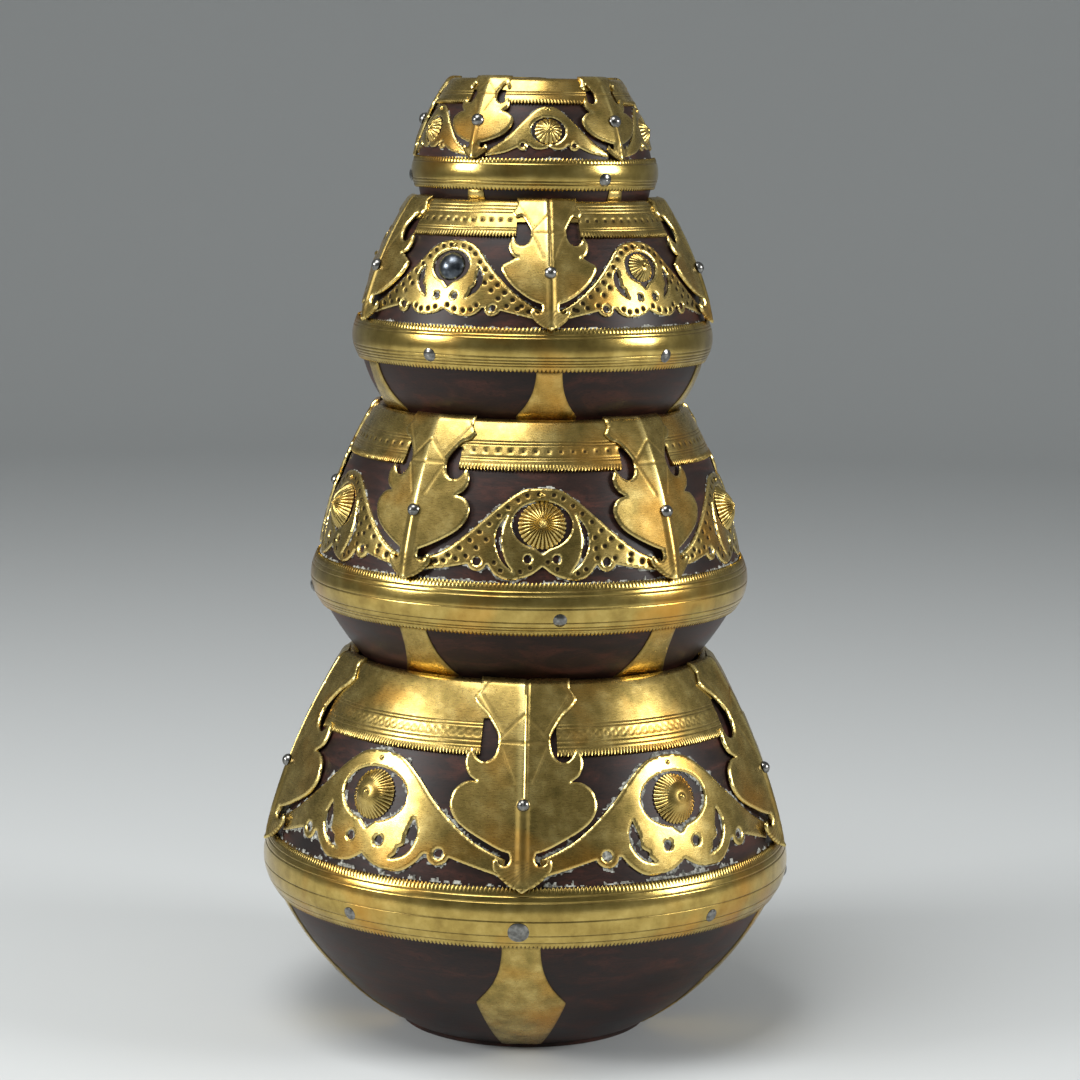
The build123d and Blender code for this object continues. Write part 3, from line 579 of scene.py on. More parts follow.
def revolve(turns, radius, height):
    """Points at a turn from the front (-Y), a radius and a height; the arrays broadcast together."""
    turns, radius, height = np.broadcast_arrays(turns, radius, height)
    return np.stack([radius * np.sin(turns), -radius * np.cos(turns), height], axis=-1)


def rows_near(s_low, s_high, marks, coarse=1.6, fine=0.18, reach=0.55):
    """Arc lengths from low to high: coarse steps, with fine ones round each mark."""
    rows = [np.linspace(s_low, s_high, max(int((s_high - s_low) / coarse), 2))]
    rows += [np.arange(mark - reach, mark + reach + fine / 2, fine) for mark in marks]
    rows = np.unique(np.round(np.clip(np.concatenate(rows), s_low, s_high), 3))
    return rows[np.concatenate([[True], np.diff(rows) > fine / 3])]


def turned_lines(s, marks, depth=0.17, half_width=0.36):
    """Depth of V-shaped lines turned into a strip at the marks."""
    gap = np.min(np.abs(s[:, None] - np.asarray(marks)[None]), axis=1)
    return depth * np.clip(1 - gap / half_width, 0, 1)


def toothed_strip(line, turns, s_root, s_tip, thickness, wrap):
    """A narrow strip filed into teeth: the height swells and the edge reaches out once per tooth."""
    swing = 0.5 + 0.5 * np.cos(turns * line.teeth)
    share = np.array([0.0, 0.3, 0.62, 0.9, 1.0])
    lift = np.array([0.0, 0.10, 0.16, 0.10, -0.25])
    s = s_root + (s_tip - s_root) * share[None] * (0.62 + 0.38 * swing[:, None])
    out = thickness + lift[None] + 0.22 * (swing[:, None] - 0.5) * np.array([0, 1, 1, 1, 1])[None]
    face = revolve(turns[:, None], *line.at(s, out)[:2])
    back = revolve(turns[:, None], *line.at(s, UNDER_DRAWN)[:2])
    dirt = 0.95 * (1 - swing[:, None]) * np.array([0.1, 0.7, 1, 1, 1])[None]
    if s_tip < s_root:
        face, back, s, dirt = face[:, ::-1], back[:, ::-1], s[:, ::-1], dirt[:, ::-1]
    return solid(face, back, dirt, s, wrap=wrap)


# %% Dried polish
def crust_sheet(u, s, gap, reach, seed, place):
    """Thin flakes of dried polish where gap, the distance from the metal's edge, is within a ragged reach."""
    edge = reach * (1.9 * patchy(u, s, 3.2, seed) - 0.62)
    keep = (gap > -0.3) & (gap < edge)
    keep = keep[:-1, :-1] & keep[1:, :-1] & keep[1:, 1:] & keep[:-1, 1:]
    lump = 0.12 + 0.5 * np.clip(edge - gap, 0, 1) * patchy(u, s, 0.9, seed + 1)
    return solid(place(u, s, lump), place(u, s, 0.02), 0 * lump, s, keep, crust=1.0)


# %% Make the belts
TOOTH_MM, CRUST_PITCH = 1.6, 0.45
CRUST_REACH = {"large": 3.0, "medium": 1.7, "small": 1.2, "top": 1.0}
TEETH_TOP_MM, TEETH_FOOT_MM = 3.0, 2.2
BELT_LINES = {"large": ((3.7, 6.0, 12.6), (3.2, 6.4)), "medium": ((3.5, 5.2, 9.6), (2.8, 4.0, 6.0)),
              "small": ((2.8, 4.0), (2.5, 3.6, 4.7, 6.0)), "top": ((2.2,), (2.3, 3.4))}

for tier, line in lines.items():
    line.teeth = round(2 * math.pi * line.radius / TOOTH_MM)
    s_foot, s_top = line.s_belt_foot, line.s_belt_top
    marks = [s_top - m for m in BELT_LINES[tier][0]] + [s_foot + m for m in BELT_LINES[tier][1]]
    k = line.scale**0.5
    top_root, foot_root = s_top - TEETH_TOP_MM * k, s_foot + TEETH_FOOT_MM * k
    rows = rows_near(foot_root, top_root, marks)
    turns = around(int(2.2 * line.radius))[:, None]
    out = BELT_SHEET - turned_lines(rows, marks)
    dirt = np.broadcast_to(turned_lines(rows, marks, 0.85, 0.5), (len(turns), len(rows)))
    face = revolve(turns, *line.at(rows, out)[:2])
    back = revolve(turns, *line.at(rows, UNDER)[:2])
    body = solid(face, back, dirt, np.broadcast_to(rows, dirt.shape), wrap=True)
    fine = around(line.teeth * 4)
    upper = toothed_strip(line, fine, top_root, s_top, BELT_SHEET - 0.12, True)
    lower = toothed_strip(line, fine, foot_root, s_foot, BELT_SHEET - 0.12, True)
    around_u = around(int(2 * math.pi * line.radius / CRUST_PITCH)) * line.radius
    u, s = np.meshgrid(around_u, np.arange(s_top - 0.3, s_top + 4.5, CRUST_PITCH), indexing="ij")
    crust = crust_sheet(u, s, s - s_top, CRUST_REACH[tier], 40 + len(tier),
                        lambda u, s, out: revolve(u / line.radius, *line.at(s, out)[:2]))
    piece = make_piece(f"{tier}_turned_belt", [body, upper, lower, crust], tier, belt_brass)
    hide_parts(f"{tier}_belt")
    print(piece.name, len(piece.data.polygons), "faces,", line.teeth, "teeth to an edge")

# %% [markdown]
# ## Collars
# The collar starts as a band of sheet rolled over the mouth. It has a polished zone under the rim, a punched
# band between turned lines, and a toothed lower edge. Behind each leaf's neck it is cut away and the wood
# shows. The punched band needs a fine grid and the plain metal doesn't, so each stretch between two leaves is
# made of three strips that share their edges: the teeth, the band and, going once round, the rolled rim.

# %% Punch marks
def punched(across, up, kind):
    """Depth from 0 to 1 of one punch mark: a square stamp, or a small flower of a ring with a dot in it."""
    if kind == "square":
        return np.clip((1.05 - np.maximum(np.abs(across), np.abs(up))) / 0.4, 0, 1)
    gap = np.hypot(across, up)
    return np.maximum(np.clip(1 - np.abs(gap - 1.15) / 0.42, 0, 1), np.clip(1.3 - gap / 0.35, 0, 1))


# %% Make the collars
GAP_HALF = {"large": 11.4, "medium": 11.8, "small": 11.4, "top": 7.0}
HEAD_DEPTH, NECK_HEIGHT = 6.0, 60.0
COLLAR_LINES = {"large": (57.0, 58.6, 63.6, 64.7), "medium": (60.9, 62.0, 67.3, 68.6),
                "small": (59.9, 61.2, 69.4, 71.2, 73.0), "top": (59.0, 61.0)}
PUNCH_ROWS = {"large": ("flower", 61.1, 3.1), "medium": ("square", 64.7, 4.6), "small": ("square", 65.3, 3.7)}

for tier, line in lines.items():
    low = line.s_collar_foot
    root = low + TEETH_TOP_MM * line.scale**0.5
    notch = line.along((line.below(HEAD_DEPTH) + NECK_HEIGHT) / 2)
    kind, punch_height, step = PUNCH_ROWS.get(tier, ("square", NECK_HEIGHT, 1.0))
    band_top = max(notch, line.along(punch_height) + 1.8)
    marks = line.along(COLLAR_LINES[tier])
    half = math.asin(GAP_HALF[tier] / line.at(notch)[0])
    span = 2 * math.pi / BAYS - 2 * half
    shells = []
    for first in np.radians(leaf_turns[tier]) + half:
        shells.append(toothed_strip(line, np.linspace(first, first + span, int(line.teeth * 4 / BAYS * 0.86)),
                                    root, low, SHEET, False))
        rows = rows_near(root, band_top, marks, coarse=0.5 if tier in PUNCH_ROWS else 1.4, fine=0.2)
        turns = np.linspace(first, first + span, int(span * line.radius / 0.7))[:, None]
        depth = 0.0 * turns + turned_lines(rows, marks)[None]
        dirt = 0.0 * turns + turned_lines(rows, marks, 0.85, 0.5)[None]
        if tier in PUNCH_ROWS:
            across = (turns - first) * line.at(notch)[0]
            mark = punched((across + step / 2) % step - step / 2, rows[None] - line.along(punch_height), kind)
            depth, dirt = np.maximum(depth, 0.25 * mark), np.maximum(dirt, 0.95 * mark)
        face = revolve(turns, *line.at(rows[None], SHEET - depth)[:2])
        back = revolve(turns, *line.at(rows[None] + 0 * depth, UNDER)[:2])
        shells.append(solid(face, back, dirt, rows[None] + 0 * depth))
        if band_top > notch:
            turns = np.linspace(first - 2 * half, first, 24)[:, None]
            rows = np.linspace(notch, band_top, 4)[None] + 0 * turns
            behind = [revolve(turns, *line.at(rows, out)[:2]) for out in (SHEET, UNDER)]
            shells.append(solid(*behind, 0 * rows, rows))
    rows = rows_near(band_top, line.s_crest - 2.0, marks, coarse=2.0)
    rows = np.concatenate([rows, np.linspace(line.s_crest - 1.5, line.s_lip, 16)])
    turns = around(int(2.2 * line.radius))[:, None]
    sway = 0.1 * wavy(turns * line.radius, rows[None], 11.0, 3)
    sway = sway * np.clip((rows - band_top - 1) / 4, 0, 1) * np.clip((line.s_crest - rows) / 3, 0, 1)
    face = revolve(turns, *line.at(rows[None] + 0 * sway, SHEET + LIFT - turned_lines(rows, marks) + sway)[:2])
    back = revolve(turns, *line.at(rows[None] + 0 * sway, UNDER)[:2])
    dirt = turned_lines(rows, marks, 0.85, 0.5)[None] + 0 * sway
    shells.append(solid(face, back, dirt, rows[None] + 0 * sway, wrap=True))
    piece = make_piece(f"{tier}_rolled_collar", shells, tier, sheet_brass)
    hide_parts(f"{tier}_collar")
    print(piece.name, len(piece.data.polygons), "faces")

# %% [markdown]
# ## Pierced arches
# Each arch is sawn from one sheet: an ogee with long legs, a round window with a point at its foot, two
# crescents, two scroll eyes and a ring on each leg. Every box has its own drawing, as each was sawn by eye. It
# is drawn flat and laid on the round wall. The top box's arch has only the window and the leg rings. On the
# medium and small boxes rows of punched dots fill the bands.

# %% The drawings of the arches
# Half widths and heights at the size of the largest box: the upper edge, the leg's lower edge, the ring on the
# leg, the lobes, the window's half, the scroll hole and the crescent (outer side, then inner side).
DRAWINGS = {
    "large": dict(
        over=[(0, 51.9), (9, 50.4), (17.6, 44.8), (25.9, 37.2), (33, 31.2), (41.4, 24.8), (47, 21.4),
              (55, 17.6)],
        under=[(55, 11.4), (47.5, 13.7), (38.2, 16.6)], eye=(32.2, 18.2),
        lobes=[(26.6, 17.6), (24, 14.2), (19.4, 10.8), (14.4, 9.9), (7, 10.8), (2.2, 13), (0, 14.4)],
        window=(36.0, 15.4, 9.8), point=23.7, scroll=(6.9, 20.0),
        crescent=([(20.4, 30.2), (22.6, 25.4), (22.0, 20.2), (18.6, 16.0), (12.8, 14.1)],
                  [(12.8, 14.1), (15.2, 16.2), (15.6, 18.4)],
                  [(15.6, 18.4), (18.2, 20.2), (18.4, 24.2), (20.4, 30.2)])),
    "medium": dict(
        over=[(0, 49.3), (8, 48.4), (15.5, 43.9), (24, 36.9), (32, 30), (40.6, 23.1), (48, 18.8), (55, 16.6)],
        under=[(55, 11.4), (44, 13.2), (35, 15.2)], eye=(29.5, 16.8),
        lobes=[(24.6, 15.6), (21.4, 11.2), (16, 9), (10.6, 9.6), (5, 11.6), (0, 15.2)],
        window=(33.2, 13.7, 10.4), point=20.6, scroll=(6.6, 18.4),
        crescent=([(15.4, 37.8), (20.0, 31.6), (21.2, 25.0), (18.6, 17.6), (12.9, 11.9)],
                  [(12.9, 11.9), (17.0, 18.2), (18.6, 25.4), (17.8, 31.8), (15.4, 37.8)])),
    "small": dict(
        over=[(0, 54.4), (7.4, 53.6), (14.2, 50.3), (20.8, 43.5), (28.5, 35.9), (38, 27.4), (48.4, 20.2),
              (55, 17)],
        under=[(55, 11.8), (44, 14.6), (35.6, 16.6)], eye=(28.9, 18.2),
        lobes=[(23.0, 18.4), (20.8, 15.6), (16.4, 13.6), (11.4, 13.6), (5.4, 14.6), (0, 17.2)],
        window=(40.3, 11.6, 8.6), point=29.0, scroll=(5.7, 24.3),
        crescent=([(17.3, 40.1), (20.4, 35.8), (20.6, 30.8), (17.8, 26.4), (13.0, 23.2)],
                  [(13.0, 23.2), (14.6, 26.4), (15.0, 28.6)],
                  [(15.0, 28.6), (17.0, 30.6), (16.8, 35), (17.3, 40.1)])),
    "top": dict(
        over=[(0, 50.4), (4.6, 49.8), (10.2, 47), (18.3, 40.1), (28.2, 30.4), (37.5, 21.8), (51, 13.0)],
        under=[(51, 9.6), (36.5, 12.6), (26.0, 17.0)], eye=(21.4, 18.9),
        lobes=[(16.4, 19.4), (12.4, 16.4), (7.8, 15.6), (3.4, 16.2), (0, 17.8)],
        window=(30.4, 14.4, 11.0), point=18.9),
}
EYE_RADIUS, HOLE_RADIUS, POINT_HALF = 4.3, 1.9, 3.4


def arch_outlines(line):
    """The arch in millimetres across and along the wall: its outline first, then its openings."""
    drawn = DRAWINGS[line.tier]
    eye_u, eye_w = drawn["eye"]
    start, end = [math.atan2(w - eye_w, u - eye_u) for u, w in (drawn["under"][-1], drawn["lobes"][0])]
    sweep = np.linspace(start, end - 2 * math.pi if end > start else end, 16)
    eye = np.column_stack([eye_u + EYE_RADIUS * np.cos(sweep), eye_w + EYE_RADIUS * np.sin(sweep)])
    over, under, lobes = [smooth(drawn[edge]) for edge in ("over", "under", "lobes")]
    outline = mirrored(np.concatenate([over, under, eye, lobes]))
    middle, half_width, half_height = drawn["window"]
    sweep = np.linspace(math.pi / 2, math.asin(POINT_HALF / half_width) - math.pi / 2, 20)
    oval = np.column_stack([half_width * np.cos(sweep), middle + half_height * np.sin(sweep)])
    window = mirrored(np.concatenate([oval, smooth([(1.3, drawn["point"] + 1.0), (0, drawn["point"])])]))
    openings = [window] + [ring(side * eye_u, eye_w, HOLE_RADIUS) for side in (-1, 1)]
    if "crescent" in drawn:
        crescent = np.concatenate([smooth(part) for part in drawn["crescent"]])
        openings += [crescent, crescent * [-1, 1]]
        openings += [ring(side * drawn["scroll"][0], drawn["scroll"][1], HOLE_RADIUS) for side in (-1, 1)]
    return [line.put(loop) for loop in [outline] + openings]


def lay_on(line, u, s, out):
    """Points of a flat drawing laid on the wall: u stays the distance across, seen from the front."""
    radius, height, _ = line.at(s, out)
    return np.stack([u, -np.sqrt(np.maximum(radius**2 - u**2, 0)), height], axis=-1)


def dots_along(loop, inset, spacing):
    """Places of punched dots, evenly spaced along an outline and moved in from it."""
    step = np.linalg.norm(np.diff(loop, axis=0), axis=1)
    run = np.concatenate([[0], np.cumsum(step)])
    where = np.arange(spacing, run[-1], spacing)
    u, s = np.interp(where, run, loop[:, 0]), np.interp(where, run, loop[:, 1])
    ahead = np.column_stack([np.interp(where + 0.5, run, loop[:, 0]) - u,
                             np.interp(where + 0.5, run, loop[:, 1]) - s])
    ahead /= np.maximum(np.linalg.norm(ahead, axis=1), 1e-9)[:, None]
    return np.column_stack([u + ahead[:, 1] * inset, s - ahead[:, 0] * inset])


DOT_INSETS, DOT_MARGIN, WIDE_FROM = (3.0, 7.3), 1.75, 19.0


def dot_places(loops, k, step):
    """Punched dots: a row along the edge, and a second row inside it on the legs where the band is wide."""
    rows = [dots_along(loops[0], inset * k, step) for inset in DOT_INSETS]
    rows = [row[inside(row, loops) & (nearest(row, loops)[0] > DOT_MARGIN * k)] for row in rows]
    gap = np.hypot(*(rows[1][:, None] - rows[0][None]).transpose(2, 0, 1)).min(axis=1)
    on_leg = np.abs(rows[1][:, 0]) > WIDE_FROM * k
    return np.concatenate([rows[0], rows[1][(gap > 0.72 * step) & on_leg]])


# %% Make the arches
DOT_RADIUS, DOT_DEPTH, DOT_STEP = 0.95, 0.45, {"medium": 4.8, "small": 4.0}

for tier, line in lines.items():
    k = line.scale
    loops = arch_outlines(line)
    u, s, keep, distance = cut_sheet(loops, ARCH_PITCH[tier])
    out = rounded(distance, SHEET)
    dirt = -np.clip(1.2 - distance / 0.7, 0, 1)
    if tier in ("medium", "small"):
        dots = dot_places(loops, k, DOT_STEP[tier])
        gap = np.min(np.hypot(u[..., None] - dots[:, 0], s[..., None] - dots[:, 1]), axis=-1) / DOT_RADIUS
        out -= DOT_DEPTH * np.clip(1.1 - gap, 0, 1) ** 0.6
        dirt = np.where(gap < 1.4, np.clip((1.45 - gap) / 0.5, 0, 1), dirt)
    edge = loops[0]
    span = [np.arange(low, high, CRUST_PITCH) for low, high in zip(edge.min(axis=0) - 3, edge.max(axis=0) + 3)]
    crust_u, crust_s = np.meshgrid(*span, indexing="ij")
    flat = np.column_stack([crust_u.ravel(), crust_s.ravel()])
    beside = (nearest(flat, loops)[0] * np.where(inside(flat, loops), -1, 1)).reshape(crust_u.shape)
    for number, turn in enumerate(arch_turns[tier], start=1):
        uneven = 0.07 * wavy(u, s, 7.0 * k + 2, number)
        face = turned(lay_on(line, u, s, out + uneven), turn)
        back = turned(lay_on(line, u, s, UNDER_DRAWN), turn)
        crust = crust_sheet(crust_u, crust_s, beside, 0.75 * CRUST_REACH[tier], 7 * number + len(tier),
                            lambda u, s, out: turned(lay_on(line, u, s, out), turn))
        shells = [solid(face, back, dirt, s, keep), crust]
        piece = make_piece(f"{tier}_pierced_arch_{number}", shells, tier, sheet_brass)
        if number == 1:
            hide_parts(f"{tier}_arches")
    print(f"{tier}: arch of {int(keep.sum())} cells, {len(loops) - 1} openings")

# %% [markdown]
# ## Ridged leaves
# A leaf strap is folded along its middle before it is cut, so it stands on the wall as a low roof: a fishtail
# over the rim, a neck, two horns, two broad lobes, claws and a small fan at its foot. Each half is flat across.
# Lines are engraved on the head and neck, and the fan is cut like a shell.

# %% The outline of a leaf and its engraving
FOLD = math.radians(15.0)
FAN_RAYS = 6
LOBES = {
    "large": [(17.4, 44.6), (21.8, 44.2), (26.0, 40.8), (27.4, 35.6), (25.4, 31.0), (21.0, 27.4), (13.8, 23.6),
              (8.4, 21.2), (5.0, 20.4)],
    "medium": [(17.8, 44.8), (22.0, 43.4), (24.9, 39.6), (24.7, 35.0), (22.0, 30.4), (17.0, 26.6), (10.4, 23.0),
               (5.0, 20.6)],
    "small": [(18.0, 45.6), (21.6, 43.4), (26.3, 40.4), (24.8, 35.4), (20.8, 30.4), (15.6, 26.0), (10.0, 22.6),
              (5.0, 20.8)],
    "top": [(18.2, 45.0), (23.0, 43.8), (27.8, 39.8), (28.2, 35.4), (25.6, 30.0), (20.6, 25.6), (13.0, 22.2),
            (6.4, 20.0)],
}


def leaf_outline(line):
    """The leaf's outline in millimetres across and along the wall, from the crest of the rim to its tip."""
    corner = line.below(HEAD_DEPTH)
    slope = [(19.4, corner), (17.4, corner - 2.6), (14.0, 67.4), (11.2, 63.4), (9.6, 60.4)]
    half = np.concatenate([line.put(part) for part in (
        [(16.6, line.below(2.4)), (19.4, corner)], smooth(slope),
        smooth([(9.6, 60.4), (10.0, 56.6), (11.4, 53.4), (14.2, 51.6), (17.2, 52.4), (19.6, 56.2)]),
        smooth([(19.6, 56.2), (21.5, 53.4), (21.9, 50.0), (20.6, 46.8), (17.4, 44.6)]),
        smooth(LOBES[line.tier]),
        smooth([(5.0, 20.4), (4.7, 18.0), (5.9, 16.0), (7.9, 15.9), (9.0, 17.0), (9.3, 18.6)]),
        smooth([(9.3, 18.6), (10.9, 17.4), (10.9, 14.8), (8.8, 11.8), (5.0, 8.9), (0, 6.2)]))])
    crest = np.array([[0, line.s_crest - 0.1], [16.4 * line.scale, line.s_crest - 0.1]])
    return mirrored(np.concatenate([crest, half]))


def leaf_cuts(line):
    """Engraved lines of a leaf: along its tail's slanted edge, the rays on its neck and the rays of the fan."""
    right = [[(13.8, 78.5), (16.6, 74.6), (12.0, 67.8), (8.0, 62.0)], [(0.4, 68.2), (9.2, 59.4)],
             [(0.4, 58.6), (9.2, 58.4)], [(8.8, 57.0), (3.4, 44.8)]]
    for n in range(FAN_RAYS):
        right.append([(0.3, 17.4 - 0.9 * n), (9.9 * math.cos(0.23 * n), 14.6 - 7.4 * math.sin(0.23 * n))])
    cuts = [[(side * u, w) for u, w in cut] for cut in right for side in (-1, 1)]
    return [line.put(cut) for cut in cuts]


def fold_on(line, u, s, out):
    """Points of a folded sheet: a ridge stands over the wall, and both halves lean back from it by FOLD.

    A flat half touches a round wall of radius r where it is turned by FOLD, so the ridge is at r / cos(FOLD).
    """
    radius, height, _ = line.at(s, out)
    soft = np.sqrt(u**2 + 0.35**2) - 0.35
    return np.stack([u, soft * math.tan(FOLD) - radius / math.cos(FOLD), height], axis=-1)


# %% Make the leaves
TACK_HEIGHT, RIB_HALF, CREASED = 37.4, 1.9, ("large", "small")

for tier, line in lines.items():
    k = line.scale
    outline = leaf_outline(line)
    u, s, keep, distance = cut_sheet([outline], LEAF_PITCH)
    cuts = groove(u, s, leaf_cuts(line), 0.62, 1.0)
    above = s > line.along(TACK_HEIGHT)
    rib = np.where(above, 0, 0.3 * np.clip(1.5 - np.abs(u) / (RIB_HALF * k), 0, 1))
    rib *= np.clip((s - line.along(9.0)) / 5, 0, 1)
    crease = np.clip(1.2 - np.abs(u - 0.9 * k) / 0.7, 0, 1) * above * (tier in CREASED)
    distance = np.where(s > line.s_crest - 0.6, 9, distance)
    out = SHEET + LIFT + rounded(distance, SHEET) - 0.14 * cuts + rib - 0.45 * crease
    # The bright stripe left of the ridge is a painted highlight, the lit side of the fold. worn adds it to the
    # rubbed edges.
    painted_highlight_stripe = np.clip(1.3 - np.abs(u + 0.9 * k) / (1.5 * k), 0, 1) * (above | (tier not in CREASED))
    worn = np.clip(1.2 - distance / 0.7, 0, 1) + 0.9 * painted_highlight_stripe
    # The crease right of the ridge is cut into the sheet and darkened with painted shade, the shaded side of
    # the fold. The engraved cuts get dirt. The rib is darker on its sides and a little darker on top.
    dark = np.maximum(np.maximum(cuts, crease), 0.55 * (rib > 0.02) * (rib < 0.25) + 0.3 * (rib >= 0.25))
    dirt = np.where(dark > 0.15, 0.9 * dark, -np.clip(worn, 0, 1))
    for number, turn in enumerate(leaf_turns[tier], start=1):
        uneven = 0.08 * wavy(u, s, 9.0, number + 7) * np.clip((s - line.along(9.0)) / 5, 0, 1)
        face = turned(fold_on(line, u, s, out + uneven), turn)
        back = turned(fold_on(line, u, s, SHEET + LIFT), turn)
        shells = [solid(face, back, dirt, s, keep)]
        piece = make_piece(f"{tier}_ridged_leaf_{number}", shells, tier, sheet_brass)
        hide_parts(f"{tier}_leaf_{number}")
    print(f"{tier}: leaf of {int(keep.sum())} cells")

# %% [markdown]
# ## Bosses
# The boss in an arch's window is a dome raised with a punch and fluted like a marigold. Round the dome the
# height swings once per flute, more strongly towards the rim, and the rim itself is scalloped. It is a polar
# grid set on a plane that leans with the wall.

# %% Make the fluted bosses
BOSSES = {"large": (9.7, 36, 0.55), "medium": (9.0, 30, 0.06), "small": (5.6, 22, 0.3), "top": (5.1, 16, 0.2)}
BOSS_RISE = 0.52


def boss_dome(radius, flutes, plain, rings=15, per_flute=5):
    """Fluted dome: height falls as 1 - t^2.2 from middle to rim, less a share of the flutes beyond plain."""
    height = BOSS_RISE * radius
    share = np.linspace(0, 1, rings)[:, None]
    angle = np.linspace(0, 2 * math.pi, flutes * per_flute, endpoint=False)[None]
    ridge = np.abs(np.sin(angle * flutes / 2)) ** 0.7
    depth = np.clip((share - plain) / 0.3, 0, 1)
    reach = radius * share * (1 - 0.06 * (1 - ridge) * share**3)
    nipple = 0.07 * radius * np.clip(1 - (share / 0.13) ** 2, 0, 1)
    up = height * (1 - share**2.2) - 0.15 * height * depth * (1 - ridge) + nipple
    up = np.where(share >= 1, 0.05, np.maximum(up, 0.05))
    dome = np.stack([reach * np.cos(angle), reach * np.sin(angle), up], axis=-1)
    ring_cut = 0.8 * np.clip(1 - np.abs(share - 0.16) / 0.05, 0, 1)
    dirt = 0.95 * depth * (1 - ridge) ** 1.2 - 0.5 * depth * ridge**4 + ring_cut + 0 * reach
    return dome, dirt


def on_wall(line, points, turn, pattern_height, out):
    """Points given on a plane (x across, y up the wall, z out of it), set on the wall at a turn and height."""
    radius, height, angle = line.at(line.along(pattern_height), out)
    c, s = math.cos(angle), math.sin(angle)
    x, y, z = points[..., 0], points[..., 1], points[..., 2]
    placed = np.stack([x, -(radius + z * c - y * s), height + z * s + y * c], axis=-1)
    return turned(placed, turn)


for tier, line in lines.items():
    dome, dirt = boss_dome(*BOSSES[tier])
    dome, dirt = dome.transpose(1, 0, 2)[:, ::-1], dirt.T[:, ::-1]
    floor, height = dome * [1, 1, 0], DRAWINGS[tier]["window"][0]
    turns = arch_turns[tier][:4] if tier == "small" else arch_turns[tier]
    shells = [solid(on_wall(line, dome, turn, height, 0.05), on_wall(line, floor, turn, height, 0.03), dirt,
                    0 * dirt, wrap=True) for turn in turns]
    piece = make_piece(f"{tier}_fluted_bosses", shells, tier, sheet_brass)
    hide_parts(f"{tier}_bosses")
    print(piece.name, len(shells), "bosses of", BOSSES[tier][1], "flutes")

# %% [markdown]
# ## Foot straps
# Under each leaf a strap runs from the belt to the foot. It starts narrow, flares to two corners and narrows
# again, and a light crease follows its middle.

# %% Make the foot straps
STRAP_SHEET = 0.7

for tier, line in lines.items():
    k = line.scale
    top, low = line.s_belt_foot - 0.5, line.s[0] + 0.1
    points = line.put(smooth([(7.2, -15.4), (7.4, -20.0), (8.6, -27.0), (11.6, -34.4), (17.0, -42.4)]))
    points[:, 1] = np.clip(points[:, 1], low, top)
    half = np.concatenate([[[0, top]], points, [[7.6 * k, low], [0, low]]])
    u, s, keep, distance = cut_sheet([mirrored(half)], STRAP_PITCH)
    crease = 0.35 * np.clip(1 - np.abs(u) / (3.2 * k), 0, 1)
    out = rounded(distance, STRAP_SHEET, 0.35) - 0.15 * crease
    dirt = 0.6 * np.clip(1 - distance / 0.8, 0, 1)
    shells = []
    for turn in leaf_turns[tier]:
        face, back = lay_on(line, u, s, out), lay_on(line, u, s, UNDER_DRAWN)
        shells.append(solid(turned(face, turn), turned(back, turn), dirt, s, keep))
    piece = make_piece(f"{tier}_flared_foot_straps", shells, tier, sheet_brass)
    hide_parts(f"{tier}_foot_straps")
    print(piece.name, len(piece.data.polygons), "faces")

# %% [markdown]
# ## Camera, floor and light
# The camera has a long lens and looks slightly down from a little over a metre away. The stack stands in a wide
# pale dish whose floor curves up into its wall, so no horizon shows and the brass reflects an even ground. A
# broad soft lamp hangs above and in front, smaller ones of much the same power stand at both sides, and the
# world fills the rest.

# %% Camera
LENS_MM, CAMERA_BACK, CAMERA_HEIGHT, CAMERA_SIDE = 100.0, 1.1793, 0.3619, 0.0041
PITCH_DOWN, ROLL = 8.16, 0.83

camera_data = bpy.data.cameras.new("camera")
camera_data.lens, camera_data.sensor_width = LENS_MM, 36.0
camera = bpy.data.objects.new("camera", camera_data)
camera.location = (CAMERA_SIDE, -CAMERA_BACK, CAMERA_HEIGHT)
camera.rotation_mode = "XYZ"
down = math.radians(90 - PITCH_DOWN)
roll = math.radians(ROLL)
camera.rotation_euler = (down, -roll * math.sin(down), roll * math.cos(down))
bpy.context.scene.collection.objects.link(camera)
bpy.context.scene.camera = camera
print(f"camera {CAMERA_BACK} m back and {CAMERA_HEIGHT} m up, looking down {PITCH_DOWN} degrees")

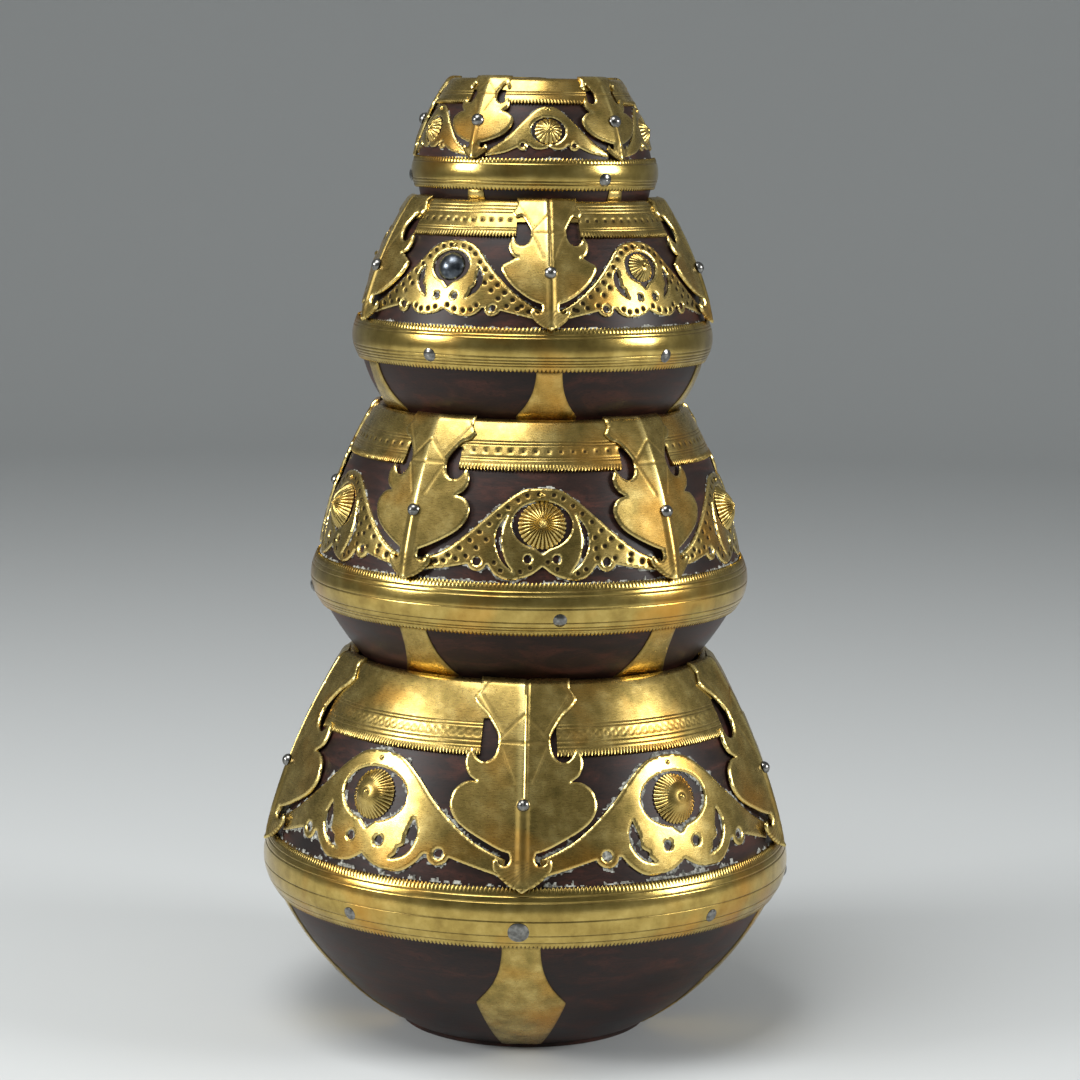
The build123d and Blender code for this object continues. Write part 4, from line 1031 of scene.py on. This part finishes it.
# %% Floor and wall
DISH_FLAT, DISH_BEND, DISH_HEIGHT = 2.0, 1.4, 2.6
sweep = np.linspace(-math.pi / 2, 0, 24)
bend_r = DISH_FLAT + DISH_BEND * np.cos(sweep)
profile_r = np.concatenate([[0.001, 0.5, 1.0, 1.5], bend_r, [DISH_FLAT + DISH_BEND]])
profile_z = np.concatenate([[0, 0, 0, 0], DISH_BEND + DISH_BEND * np.sin(sweep), [DISH_HEIGHT]])
dish_points = revolve(around(96)[:, None], profile_r[None], profile_z[None])
grid = np.arange(dish_points.shape[0] * dish_points.shape[1]).reshape(dish_points.shape[:2])
grid = np.concatenate([grid, grid[:1]])
quads = np.stack([grid[:-1, :-1], grid[:-1, 1:], grid[1:, 1:], grid[1:, :-1]], axis=-1).reshape(-1, 4)[:, ::-1]
dish_mesh = bpy.data.meshes.new("dish")
dish_mesh.from_pydata(dish_points.reshape(-1, 3), [], quads)
dish_mesh.shade_smooth()
dish = bpy.data.objects.new("dish", dish_mesh)
bpy.context.scene.collection.objects.link(dish)
paper, _, paper_shader = new_material("matt paper")
paper_shader.inputs["Base Color"].default_value = linear("#c4c7c7")
paper_shader.inputs["Roughness"].default_value = 0.9
dish_mesh.materials.append(paper)
print("dish of", len(quads), "faces,", 2 * (DISH_FLAT + DISH_BEND), "m across")

# %% Light
def soft_lamp(name, place, aim, size, power):
    """A square soft lamp at a place, facing a point."""
    data = bpy.data.lights.new(name, "AREA")
    data.shape, data.size, data.energy = "SQUARE", size, power
    lamp = bpy.data.objects.new(name, data)
    lamp.location = place
    toward = np.array(aim) - np.array(place)
    lamp.rotation_euler = (math.atan2(math.hypot(toward[0], toward[1]), -toward[2]), 0,
                           math.atan2(toward[1], toward[0]) - math.pi / 2)
    bpy.context.scene.collection.objects.link(lamp)


soft_lamp("above", (-0.35, -0.5, 1.5), (0, 0, 0.2), 0.8, 17)
soft_lamp("left", (-1.35, -0.55, 0.75), (0, 0, 0.2), 0.5, 17)
soft_lamp("right", (1.4, -0.45, 0.7), (0, 0, 0.2), 0.5, 16)

world = bpy.data.worlds.new("studio")
world.use_nodes = True
world.node_tree.nodes["Background"].inputs["Color"].default_value = linear("#c9cccd")
world.node_tree.nodes["Background"].inputs["Strength"].default_value = 0.34
bpy.context.scene.world = world
bpy.context.scene.view_settings.view_transform = "Standard"
print("three lamps and the world")
